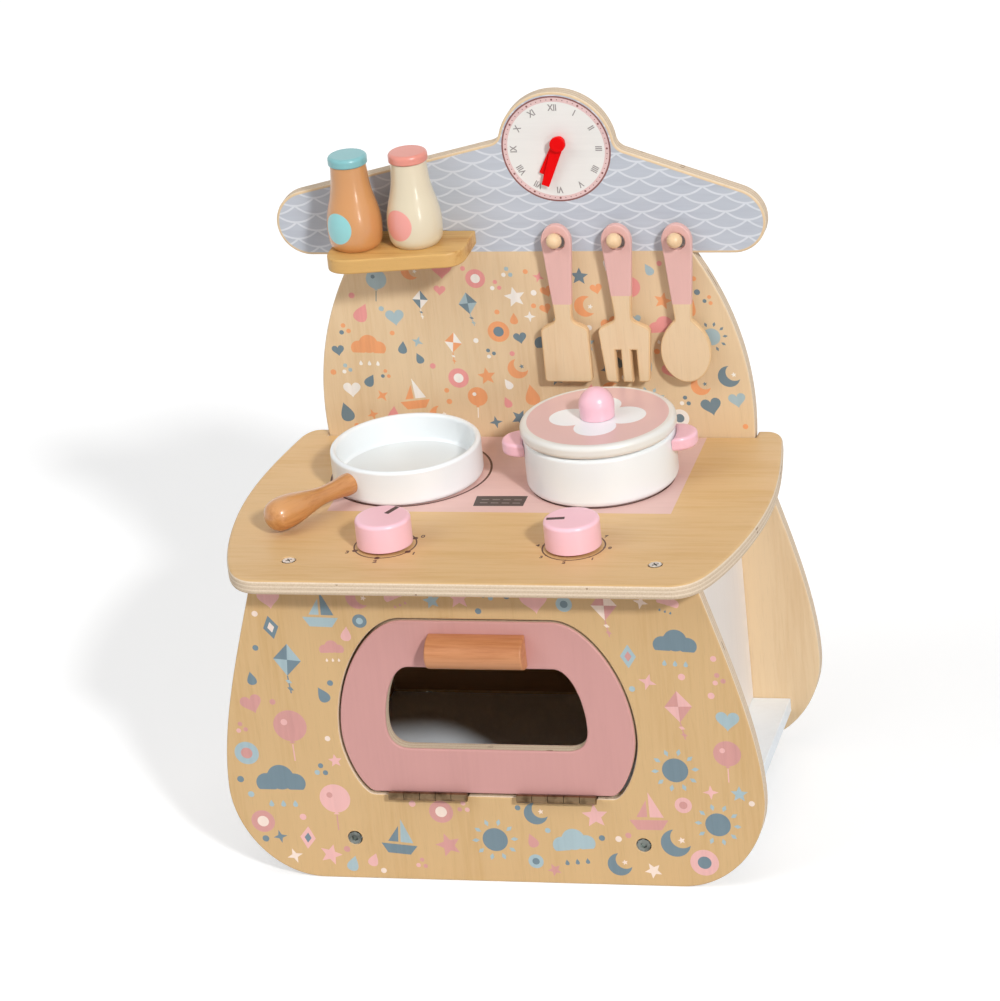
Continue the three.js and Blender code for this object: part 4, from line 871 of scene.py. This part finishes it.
# Hob print on the counter
HOB_HALF = 115.5 * MM
HOB_FRONT = 81 * MM  # from the face of the front board, as the rings and the display
RINGS = [(-73.5 * MM, 142 * MM, 53.6 * MM), (59.2 * MM, 135.6 * MM, 47.3 * MM)]
RING_LINE = 0.75 * MM
DIAL_RADIUS = 20.3 * MM
DIAL_LINE = 0.5 * MM
# Marks of each dial: how many, the angles of the first and of a step, the radius of its dots,
# and how far out its numbers stand and how large they are
DIALS = {
    "left": (6, math.radians(31), math.radians(-61), 1.9 * MM, 5.2 * MM, 5.4 * MM),
    "right": (8, math.radians(-3), math.radians(-45), 0.8 * MM, 3.7 * MM, 4.4 * MM),
}
DISPLAY = [(-18.8 * MM, 90.5 * MM), (-19.9 * MM, 106.2 * MM), (14.5 * MM, 106.9 * MM), (14.7 * MM, 91.1 * MM)]
DISPLAY_ROWS = (0.3, 0.62)  # of its height
DISPLAY_BAR = (5.2 * MM, 1 * MM)


def ring_prints(x, y, radius, line, ground):
    return [(circle(x, y, radius + line, 96), "print_brown"), (circle(x, y, radius - line, 96), ground)]


def counter_prints():
    front = front_low.y
    back = back_face - FIT - COUNTER_ROUND - 2 * SUPPORT
    prints = [(rectangle(-HOB_HALF, front + HOB_FRONT, HOB_HALF, back), "hob_pink")]
    for x, y, radius in RINGS:
        prints += ring_prints(x, front + y, radius, RING_LINE, "hob_pink")
    prints.append(([(x, front + y) for x, y in DISPLAY], "display_dark"))
    (left, low), (_, high), _, (right, _) = DISPLAY
    width, height = DISPLAY_BAR
    for row in DISPLAY_ROWS:
        for column in range(4):
            x = left + (right - left) * (0.1 + 0.22 * column)
            y = front + low + row * (high - low)
            prints.append((rectangle(x, y, x + width, y + height), "display_line"))
    for side, (count, start, step, dot, _, _) in DIALS.items():
        x, y = axis_of(f"knob_{side}", "xy")
        prints += ring_prints(x, y, DIAL_RADIUS, DIAL_LINE, "birch_counter")
        places = [polar(x, y, DIAL_RADIUS, start + step * number) for number in range(count)]
        prints += [(circle(*place, dot, 16), "print_brown") for place in places]
    return prints


def counter_board():
    low, high = counter_low, counter_high
    notch = body_half * BODY_SHARES[-1][-1][0] + FIT + PLY_ROUND
    face = back_face - FIT
    across = [(notch, high.y), (notch, face), (HOB_HALF, face), (-HOB_HALF, face), (-notch, face), (-notch, high.y)]
    outline = mirrored(right_side(COUNTER_SHARES, high.x, low.y, high.y - low.y), across)
    ply_edge("ply_counter", "Z", low.z, high.z - low.z)

    def by_the_hob(point):
        return abs(point.x) < HOB_HALF and abs(point.y - face) < FIT

    board(
        "counter_board", outline, high.z - low.z, COUNTER_ROUND, lying_at(high.z), "birch_counter", "cabinet",
        "countertop", "ply_counter",
        bores=[circle(*axis_of(f"counter_screw_{side}", "xy"), SCREW_HOLE) for side in SIDES],
        prints=counter_prints(), edge_prints=[(by_the_hob, "hob_pink")], wrap=3,
    )


def side_boards():
    for side, sign in zip(SIDES, (-1, 1)):
        low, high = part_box(f"side_panel_{side}")
        inner = min(low.x, high.x, key=abs)
        board(
            f"side_board_{side}", rectangle(low.y, low.z, high.y, high.z), high.x - low.x, PANEL_ROUND,
            lambda u, v, depth: (inner + sign * depth, u, v), "white_side", "cabinet", f"side_panel_{side}",
            # The inner faces take the darkened bare wood, as painted shade
            prints=[(lambda ring: ring, "shaded_bare_inside")],
        )
    low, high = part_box("floor_panel")
    board("floor_board", rectangle(low.x, low.y, high.x, high.y), high.z - low.z, PANEL_ROUND, lying_at(high.z),
          "white_floor", "cabinet", "floor_panel")


# Oven door and its handle
WINDOW_HALF = 67 * MM
DOOR_FOOT = 32 * MM
DOOR_HEAD = 33.5 * MM


def door_board():
    height = door_high.z - door_low.z
    outline = mirrored(right_side(DOOR_SHARES, door_high.x, door_low.z, height))
    window = right_side(WINDOW_SHARES, WINDOW_HALF, door_low.z + DOOR_FOOT, height - DOOR_FOOT - DOOR_HEAD)
    ply_edge("ply_door", "Y", door_low.y, ply)
    board("door_board", outline, ply, PLY_ROUND, standing_at(door_low.y), "door_pink", "door", "oven_door",
          "ply_door", holes=[mirrored(window)], wrap=5)


def handle_bar():
    low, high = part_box("door_handle")
    half = (high.z - low.z) / 2
    middle = (high.z + low.z) / 2
    depth = high.y - low.y
    outline = [(-depth * math.sin(a), half * math.cos(a)) for a in (math.pi * i / 40 for i in range(41))]
    board("handle_bar", outline, high.x - low.x, PLY_ROUND, lambda u, v, along: (low.x + along, high.y + u, middle + v),
          "beech_bar", "door", "door_handle")


# Knobs
BUTTON_EDGE = 2.4 * MM
MARK_HALF = 1.7 * MM
MARK_START = 0.26  # of the way out to its end
MARK_THICKNESS = 0.6 * MM
MARK_RAISE = 0.08 * MM


def knobs():
    for side, mark_angle in (("left", 65), ("right", 188)):
        base, radius, height = middle_of(f"knob_{side}")
        turned(f"knob_{side}_painted", button(radius, height, BUTTON_EDGE), base, "knob_pink", f"{side}_knob",
               f"knob_{side}")
        reach = radius - BUTTON_EDGE
        mark = rectangle(reach * MARK_START, -MARK_HALF, reach, MARK_HALF)
        board(f"knob_{side}_mark", moved(mark, base.x, base.y, 1, math.radians(mark_angle)), MARK_THICKNESS,
              0.05 * MM, lying_at(base.z + height + MARK_RAISE), "mark_dark", f"{side}_knob")


# Pan and pot
PAN_WALL = 4.2 * MM
GRIP_AXIS = 13 * MM  # above the underside of the pan
GRIP_SHARES = [
    (0, 0.66), (0.05, 0.67), (0.17, 0.58), (0.3, 0.53), (0.42, 0.59), (0.55, 0.76), (0.68, 0.93), (0.8, 1),
    (0.89, 0.95), (0.955, 0.76), (0.99, 0.42), (1, 0),
]
GRIP_LENGTH = 70 * MM
GRIP_RADIUS = 11 * MM
GRIP_SUNK = 3 * MM  # into the wall of the pan
POT_TURN = math.radians(6.5)
EAR_HALF = 13.5 * MM
EAR_REACH = 14.5 * MM
LID_STEP = 3 * MM
LID_STEP_INSET = 7 * MM
LID_MARGIN = 4.8 * MM  # of its print
LOBE_RADIUS = 14 * MM
LOBE_SPREAD = 18 * MM


def cup_profile(radius, height, wall, floor, base_round, cove):
    rim = wall / 2
    return [
        (0, 0), *round_corner(radius - base_round, base_round, base_round, -90, 0),
        *round_corner(radius - rim, height - rim, rim, 0, 180),
        *round_corner(radius - wall - cove, floor + cove, cove, 0, -90), (0, floor),
    ]


def pan():
    base, radius, height = middle_of("pan_body")
    floor, cove = 6 * MM, 2 * MM
    profile = cup_profile(radius, height, PAN_WALL, floor, base_round=3.5 * MM, cove=cove)

    # The inner floor takes the greyer copy of the white: painted shade
    def finish_of(point):
        away = (point - base).xy.length
        return 1 if away < radius - PAN_WALL - cove and abs(point.z - base.z - floor) < FIT else 0

    turned("pan_cup", profile, base, "pot_white pan_floor", "pan", "pan_body", finish_of=finish_of)
    direction = Matrix.Rotation(PAN_TURN, 3, "Z")
    line = through([(r * GRIP_RADIUS, a * GRIP_LENGTH) for a, r in GRIP_SHARES])
    profile = [(0, -GRIP_SUNK), (line[0][0], -GRIP_SUNK), *[(max(r, 0), h) for r, h in line]]
    start = base + Vector((0, 0, GRIP_AXIS)) + direction @ Vector((radius, 0, 0))
    turned("pan_grip", profile, start, "turned_beech", "pan", "pan_handle", direction @ TO_RIGHT)


def pot():
    base, radius, height = middle_of("pot_body")
    profile = cup_profile(radius, height, wall=5 * MM, floor=6 * MM, base_round=4.5 * MM, cove=4 * MM)
    turned("pot_cup", profile, base, "pot_white", "pot", "pot_body")
    low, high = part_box("pot_ear_right")
    reach = math.asin(EAR_HALF / radius)
    ear = [*arc(0, 0, radius + FIT, -reach, reach), *arc(radius + EAR_REACH - EAR_HALF, 0, EAR_HALF, QUARTER, -QUARTER)]
    for side, turn in zip(SIDES, (math.pi, 0)):
        board(f"ear_{side}", moved(ear, base.x, base.y, 1, turn + POT_TURN), high.z - low.z, 2 * MM,
              lying_at(high.z), "ear_pink", "pot", f"pot_ear_{side}")


def lid():
    """The lid's top is a board of its own outline, so that its print, with a quatrefoil, is cut into its face"""
    base, radius, height = middle_of("pot_lid")
    outline, disc = [circle(base.x, base.y, r, TURN_STEPS) for r in (radius, radius - LID_MARGIN)]
    ornament = lobes([(*polar(0, 0, LOBE_SPREAD, i * QUARTER), LOBE_RADIUS) for i in range(4)], 144)
    prints = [(disc, "lid_pink"), (moved(ornament, base.x, base.y, 1, POT_TURN), "pot_white")]
    # The lid's face and rim take the darker copy of the white: painted shade
    board("lid_disc", outline, height - LID_STEP, 3 * MM, lying_at(base.z + height), "shaded_lid_white", "lid", "pot_lid",
          prints=prints)
    inner, top = radius - LID_STEP_INSET, LID_STEP + 1 * MM
    turned("lid_step", [(0, 0), (inner, 0), (inner, top), (0, top)], base, "shaded_lid_white", "lid")
    base, radius, height = middle_of("lid_knob")
    profile = [(0, 0), (radius - 0.4 * MM, 0), *round_corner(0, height - radius, radius, 0, 90, 16)]
    turned("lid_knob_painted", profile, base, "ear_pink", "lid", "lid_knob")


# Spice shelf and shakers
SHAKER_SHARES = [
    (0, 0.82), (0.07, 0.95), (0.23, 1), (0.37, 0.97), (0.5, 0.885), (0.62, 0.785), (0.78, 0.695), (1, 0.648),
]
SHELF_CORNER = 17 * MM
SHELF_DEPTH_RIGHT = 44 * MM
ROUNDEL_RADIUS = 10.6 * MM
ROUNDEL_HEIGHT = 17.2 * MM
ROUNDEL_WAY = Vector((-0.42, -0.907, 0))


def shelf():
    low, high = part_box("spice_shelf")
    right = back_face - SHELF_DEPTH_RIGHT
    corner = SHELF_CORNER

    def quadratic(a, b, c):
        return [tuple((1 - t) ** 2 * p + 2 * t * (1 - t) * q + t * t * r for p, q, r in zip(a, b, c))
                for t in (i / 12 for i in range(13))]

    outline = [
        (high.x, high.y), (low.x, high.y),
        *quadratic((low.x, low.y + corner), (low.x, low.y), (low.x + corner, low.y)),
        *quadratic((high.x - corner, right), (high.x, right), (high.x, right + corner)),
    ]
    board("shelf_board", outline, high.z - low.z, PLY_ROUND, lying_at(high.z), "shelf_wood", "cabinet", "spice_shelf")


def shakers():
    for side, colour, spot, cap, slot in (
        ("left", "ce925a", "8ecdcf", "turquoise", "turned_beech"),
        ("right", "ded1b5", "ec9e94", "salmon", "cream"),
    ):
        name, body = f"shaker_{side}", f"{side}_shaker"
        base, radius, _ = middle_of(f"{name}_body")
        cap_base, cap_radius, cap_height = middle_of(f"{name}_cap")
        height = cap_base.z - FIT - base.z
        spot_at = base + ROUNDEL_WAY * radius + Vector((0, 0, ROUNDEL_HEIGHT))
        spotted_paint(name, colour, spot, spot_at, ROUNDEL_RADIUS)
        profile = [(0, 0), *through([(r * radius, h * height) for h, r in SHAKER_SHARES]), (0, height)]
        turned(f"{name}_jar", profile, base, name, body, f"{name}_body")
        turned(f"{name}_lid", button(cap_radius, cap_height, BUTTON_EDGE, 1 * MM), cap_base, cap, body, f"{name}_cap")


# Pegs and utensils
PEG_RADIUS = 3 * MM
UTENSIL_ROUND = 0.8 * MM
NECK_HALF = 5.8 * MM
GRIP_HALF = 10.2 * MM
HEAD_HALF = 16.2 * MM
HEAD_HEIGHT = 43 * MM
EYE_RADIUS = 5.9 * MM
EYE_DROP = 2.6 * MM
UTENSIL_CORNER = 2.5 * MM
UTENSIL_TOP = 9.3 * MM
SLOT_WIDTH = 3.8 * MM
SLOT_DEPTH = 23 * MM
SLOT_SPACING = 10.5 * MM
FORK_TAPER = 2.8 * MM
PINK_HEIGHT = -47 * MM  # lower end of the painted grip, from the peg axis
FORK_PINK_RISE = 6 * MM
ROUND_SHARE = 0.55


def pegs():
    for index in (1, 2, 3):
        name = f"utensil_peg_{index}"
        low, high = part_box(name)
        x, z = axis_of(name)
        ball = (high.x - low.x) / 2
        meet = math.degrees(math.acos(PEG_RADIUS / ball))
        profile = [(0, 0), (PEG_RADIUS, 0), *round_corner(0, high.y - low.y - ball, ball, -meet, 90, 14)]
        turned(f"peg_{index}", profile, (x, high.y, z), "peg_wood", "cabinet", name, TO_FRONT,
               SMALL_STEPS)


def grip_steps(neck_height):
    """The side of a grip, from the neck to the middle of its top"""
    eye = -EYE_DROP
    rise = (UTENSIL_TOP - eye) * ROUND_SHARE
    return [
        (NECK_HALF, neck_height), (GRIP_HALF, eye),
        ((GRIP_HALF, eye + rise), (GRIP_HALF * ROUND_SHARE, UTENSIL_TOP), (0, UTENSIL_TOP)),
    ]


def shoulder_steps(half, tip_half, bottom, shoulder):
    """The side of a square head and its grip, from the tip upwards"""
    corner = UTENSIL_CORNER
    ease = corner * (1 - ROUND_SHARE)
    foot = shoulder + (half - NECK_HALF) / 2
    return [
        ((tip_half - ease, bottom), (tip_half, bottom + ease), (tip_half, bottom + corner)),
        (half, shoulder - corner),
        ((half, shoulder - ease), (half - ease, shoulder + ease / 2), (half - corner, shoulder + corner / 2)),
        (NECK_HALF + corner, foot - corner / 2),
        ((NECK_HALF + ease, foot - ease / 2), (NECK_HALF, foot + ease), (NECK_HALF, foot + corner)),
        *grip_steps(foot + 2 * corner),
    ]


def spatula_side(bottom, shoulder):
    return drawn((HEAD_HALF - UTENSIL_CORNER, bottom), *shoulder_steps(HEAD_HALF, HEAD_HALF, bottom, shoulder))


def fork_side(bottom, shoulder):
    half = HEAD_HALF + FORK_TAPER / 2
    tip_half = half - FORK_TAPER
    inner = SLOT_SPACING / 2 - SLOT_WIDTH / 2
    outer = inner + SLOT_WIDTH
    top = bottom + SLOT_DEPTH
    slot = [(inner, bottom), (inner, top), (outer, top), (outer, bottom), (tip_half - UTENSIL_CORNER, bottom)]
    return drawn(*slot, *shoulder_steps(half, tip_half, bottom, shoulder))


def spoon_side(bottom, shoulder):
    half = HEAD_HALF + UTENSIL_ROUND
    rise = HEAD_HEIGHT / 2
    middle = bottom + rise
    corner = UTENSIL_CORNER
    foot = bottom + HEAD_HEIGHT - corner / 2
    return drawn(
        (0, bottom),
        ((half * ROUND_SHARE, bottom), (half, middle - rise * ROUND_SHARE), (half, middle)),
        ((half, middle + rise * ROUND_SHARE), (NECK_HALF + 2 * corner, foot - corner), (NECK_HALF, foot + corner)),
        *grip_steps(foot + 2 * corner),
    )


def cut_at(side, level):
    """The line with a point added where it passes upwards through a level"""
    points = [side[0]]
    for a, b in zip(side, side[1:]):
        if a[1] < level < b[1]:
            points.append((a[0] + (b[0] - a[0]) * (level - a[1]) / (b[1] - a[1]), level))
        points.append(b)
    return points


def utensils():
    sides = {"spatula": spatula_side, "fork": fork_side, "spoon": spoon_side}
    for index, (name, side_of) in enumerate(sides.items(), 1):
        low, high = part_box(name)
        x, z = axis_of(f"utensil_peg_{index}")
        bottom = low.z - z
        side = side_of(bottom, bottom + HEAD_HEIGHT - 2 * UTENSIL_CORNER)
        pink_from = PINK_HEIGHT + (FORK_PINK_RISE if name == "fork" else 0)
        board(
            f"{name}_board", mirrored(cut_at(side, pink_from)), high.y - low.y, UTENSIL_ROUND,
            lambda u, v, depth: (x + u, low.y + depth, z + v), "utensil_wood", f"hanging_{name}", name,
            "utensil_edge", holes=[circle(0, -EYE_DROP, EYE_RADIUS, 56)],
            prints=[(lambda ring: [p for p in ring if p[1] > pink_from - 1 * MM], "utensil_pink")],
            edge_prints=[(lambda point: point.y > pink_from, "utensil_pink")],
        )


# Clock hands
HAND_HALF = 4 * MM
HAND_TIP_HALF = 2.6 * MM
PIN_CAP = 2.6 * MM


def clock_hands():
    x, z = axis_of("clock_pin")
    for name, length, angle in (("hour", 25.5 * MM, 210), ("minute", 31.5 * MM, 201)):
        low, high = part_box(f"clock_{name}_hand")
        outline = [(-HAND_TIP_HALF, length), *arc(0, 0, HAND_HALF, math.pi, FULL_TURN), (HAND_TIP_HALF, length)]
        board(f"{name}_hand_painted", moved(outline, x, z, 1, -math.radians(angle)), high.y - low.y, 0.4 * MM,
              standing_at(low.y), "clock_red", f"{name}_hand", f"clock_{name}_hand")
    low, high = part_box("clock_pin")
    turned("clock_cap", button((high.x - low.x) / 2, PIN_CAP, 0.9 * MM), (x, low.y + PIN_CAP, z), "clock_red",
           "cabinet", "clock_pin", TO_FRONT, SMALL_STEPS)


# Numbers

def lettering(name, words, size, finish, bold):
    """Numbers as thin closed pieces of ink. Each word comes with the matrix of its place.
    bold is how far the ink spreads past the letters' outlines."""
    joined = bmesh.new()
    for word, matrix in words:
        curve = bpy.data.curves.new(name, "FONT")
        curve.body = word
        curve.size = size
        curve.extrude = PRINT_RAISE
        curve.offset = bold
        curve.resolution_u = 3
        curve.align_x = curve.align_y = "CENTER"
        text = linked(name, curve)
        bpy.context.view_layer.update()
        mesh = bpy.data.meshes.new_from_object(text.evaluated_get(bpy.context.evaluated_depsgraph_get()))
        mesh.transform(matrix)
        joined.from_mesh(mesh)
        bpy.data.objects.remove(text)
        bpy.data.meshes.remove(mesh)
    bmesh.ops.remove_doubles(joined, verts=joined.verts[:], dist=0.002 * MM)
    make_piece(name, joined, [finish], "cabinet")


CLOCK_NUMBER_INSET = 4.3 * MM
CLOCK_NUMBER_SIZE = 6.2 * MM
NARROW = Matrix.Diagonal((0.8, 1, 1, 1))
ROMAN = "I II III IIII V VI VII VIII IX X XI XII"


def clock_numbers():
    words = []
    radius = CLOCK_RADIUS - CLOCK_LINE - CLOCK_BAND - CLOCK_NUMBER_INSET
    upright = Matrix.Rotation(QUARTER, 4, "X")
    for hour, word in enumerate(ROMAN.split(), 1):
        angle = FULL_TURN * hour / 12
        place = (clock_middle.x + radius * math.sin(angle), back_face, clock_middle.y + radius * math.cos(angle))
        lean = Matrix.Rotation(-angle, 4, "Z") @ NARROW
        words.append((word, Matrix.Translation(place) @ upright @ lean))
    lettering("clock_numbers", words, CLOCK_NUMBER_SIZE, "clock_grey", bold=0.14 * MM)


def dial_numbers():
    for side, (count, start, step, _, out, size) in DIALS.items():
        x, y = axis_of(f"knob_{side}", "xy")
        places = [polar(x, y, DIAL_RADIUS + out, start + step * number) for number in range(count)]
        words = [(str(number), Matrix.Translation((*place, counter_high.z))) for number, place in enumerate(places)]
        lettering(f"dial_numbers_{side}", words, size, "print_brown", bold=0.2 * MM)


# Cross slots of the screw heads: thin dark crosses laid on the heads, painted shade that stands for sunk slots
SLOT_ARM = 0.45 * MM
SLOT_REACH = 2.3 * MM
SLOT_RAISE = 0.06 * MM


def screw_slots():
    quarter = [(SLOT_REACH, -SLOT_ARM), (SLOT_REACH, SLOT_ARM), (SLOT_ARM, SLOT_ARM)]
    cross = [p for turn in range(4) for p in moved(quarter, turn=turn * QUARTER)]
    for kind in ("counter_screw", "counter_back_screw", "shelf_screw", "handle_screw"):
        for name in (f"{kind}_{side}" for side in SIDES):
            _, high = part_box(name)
            if kind == "counter_screw":
                axes, place = "xy", lying_at(high.z + SLOT_RAISE)
            else:
                axes, place = "xz", lambda u, v, depth: (u, high.y + SLOT_RAISE - depth, v)
            board(f"{name}_slot", moved(cross, *axis_of(name, axes), 1, 0.6), 0.5 * MM, 0.02 * MM, place,
                  "slot_shade_dark", "door" if kind == "handle_screw" else "cabinet")


def dress_nodes():
    """Finishes of the nodes that keep their own shape, by how their names start"""
    finishes = {
        "brass": ("hinge",), "beech_block": ("door_stop",), "dark_steel": ("knob_washer", "front_bolt", "back_bolt"),
        "steel": ("catch_magnet", "strike_plate", "knob_spindle", "counter_screw", "counter_back_screw",
                  "shelf_screw", "handle_screw", "lid_screw"),
    }
    for name, node in frame["nodes"].items():
        for finish, starts in finishes.items():
            if name.startswith(starts):
                node.data.materials.clear()
                node.data.materials.append(LOOKS[finish])


# Stage, lights and camera
WHITE = (1, 1, 1, 1)
FLOOR_GREY = (0.64, 0.64, 0.64, 1)
FLOOR_GLOW = 0.47  # added where the camera or a reflection sees the floor
FLOOR_HALF = 14
FILL = 0.14  # light from all round
# Soft lamps: the way towards each, its strength and the width it shines from, in degrees
LAMPS = {
    "key": ((0.83, -1.0, 0.83), 2.15, 6),
    "left": ((-0.9, -0.7, 0.9), 0.95, 35),
    "top": ((0.0, -0.15, 1.0), 0.6, 45),
    "behind": ((0.2, 1.0, 0.45), 0.5, 60),
}
WIDE_LAMP = 20  # lamps wider than this leave no mirror image on gloss paint
# A small softbox near the height of the shelf, for the highlights on the glossy pieces
SOFTBOX = (0.26, 0.42)
SOFTBOX_POWER = 8
SOFTBOX_AT = Vector((1.95, -2.3, 0.55))
# The photograph's viewpoint
CAMERA_AT = Vector((796.6, -2836.9, 1533.1)) * MM
CAMERA_YAW = 0.2741
CAMERA_PITCH = 0.41574
CAMERA_ROLL = -0.10473
CAMERA_FOCAL_SHARE = 4.9302  # of the picture's width
SENSOR = 36


def stage():
    made = bpy.data.materials.new("pale_floor")
    tree = Tree(made)
    path = tree.add("LightPath", {}).outputs
    seen = tree.calc("MAXIMUM", path["Is Camera Ray"], path["Is Glossy Ray"])
    matt = tree.add("BsdfDiffuse", {"Color": FLOOR_GREY})
    glow = tree.add("Emission", {"Color": WHITE, "Strength": tree.calc("MULTIPLY", seen, FLOOR_GLOW)})
    both = tree.add("AddShader", {0: matt.outputs[0], 1: glow.outputs[0]})
    tree.add("OutputMaterial", {"Surface": both.outputs[0]})
    mesh = bpy.data.meshes.new("floor")
    corners = rectangle(-FLOOR_HALF, -FLOOR_HALF, FLOOR_HALF, FLOOR_HALF)
    mesh.from_pydata([(x, y, 0) for x, y in corners], [], [(0, 1, 2, 3)])
    mesh.materials.append(made)
    floor = linked("floor", mesh)


def world():
    made = bpy.data.worlds.new("studio")
    bpy.context.scene.world = made
    tree = Tree(made)
    path = tree.add("LightPath", {}).outputs
    seen = tree.calc("MAXIMUM", path["Is Glossy Ray"], path["Is Transmission Ray"])
    seen = tree.calc("MAXIMUM", path["Is Camera Ray"], seen)
    strength = tree.calc("MULTIPLY_ADD", seen, 1 - FILL, FILL)
    background = tree.add("Background", {"Color": WHITE, "Strength": strength})
    tree.add("OutputWorld", {"Surface": background.outputs[0]})


def lights():
    for name, (towards, strength, width) in LAMPS.items():
        lamp = bpy.data.lights.new(name, "SUN")
        lamp.energy = strength
        lamp.angle = math.radians(width)
        holder = linked(name, lamp)
        holder.visible_glossy = width < WIDE_LAMP
        holder.rotation_euler = Vector(towards).to_track_quat("Z", "Y").to_euler()
    box = bpy.data.lights.new("softbox", "AREA")
    box.shape = "RECTANGLE"
    box.size, box.size_y = SOFTBOX
    box.energy = SOFTBOX_POWER
    holder = linked("softbox", box)
    holder.location = SOFTBOX_AT
    holder.rotation_euler = SOFTBOX_AT.to_track_quat("Z", "Y").to_euler()


def camera():
    yaw, pitch, roll = CAMERA_YAW, CAMERA_PITCH, CAMERA_ROLL
    forward = Vector((-math.sin(yaw) * math.cos(pitch), math.cos(yaw) * math.cos(pitch), -math.sin(pitch)))
    right = Vector((math.cos(yaw), math.sin(yaw), 0))
    up = right.cross(forward)
    right, up = math.cos(roll) * right + math.sin(roll) * up, math.cos(roll) * up - math.sin(roll) * right
    data = bpy.data.cameras.new("camera")
    data.sensor_fit = "HORIZONTAL"
    data.sensor_width = SENSOR
    data.lens = CAMERA_FOCAL_SHARE * SENSOR
    data.clip_start = 0.1
    data.clip_end = 60
    holder = linked("camera", data)
    holder.matrix_world = Matrix.Translation(CAMERA_AT) @ Matrix((right, up, -forward)).transposed().to_4x4()
    bpy.context.scene.camera = holder


for build in (
    camera, stage, world, lights, front_board, back_board, counter_board, side_boards, door_board, handle_bar, knobs,
    pan, pot, lid, shelf, shakers, pegs, utensils, clock_hands, clock_numbers, dial_numbers, screw_slots, dress_nodes,
):
    build()

bpy.context.scene.view_settings.view_transform = "Standard"
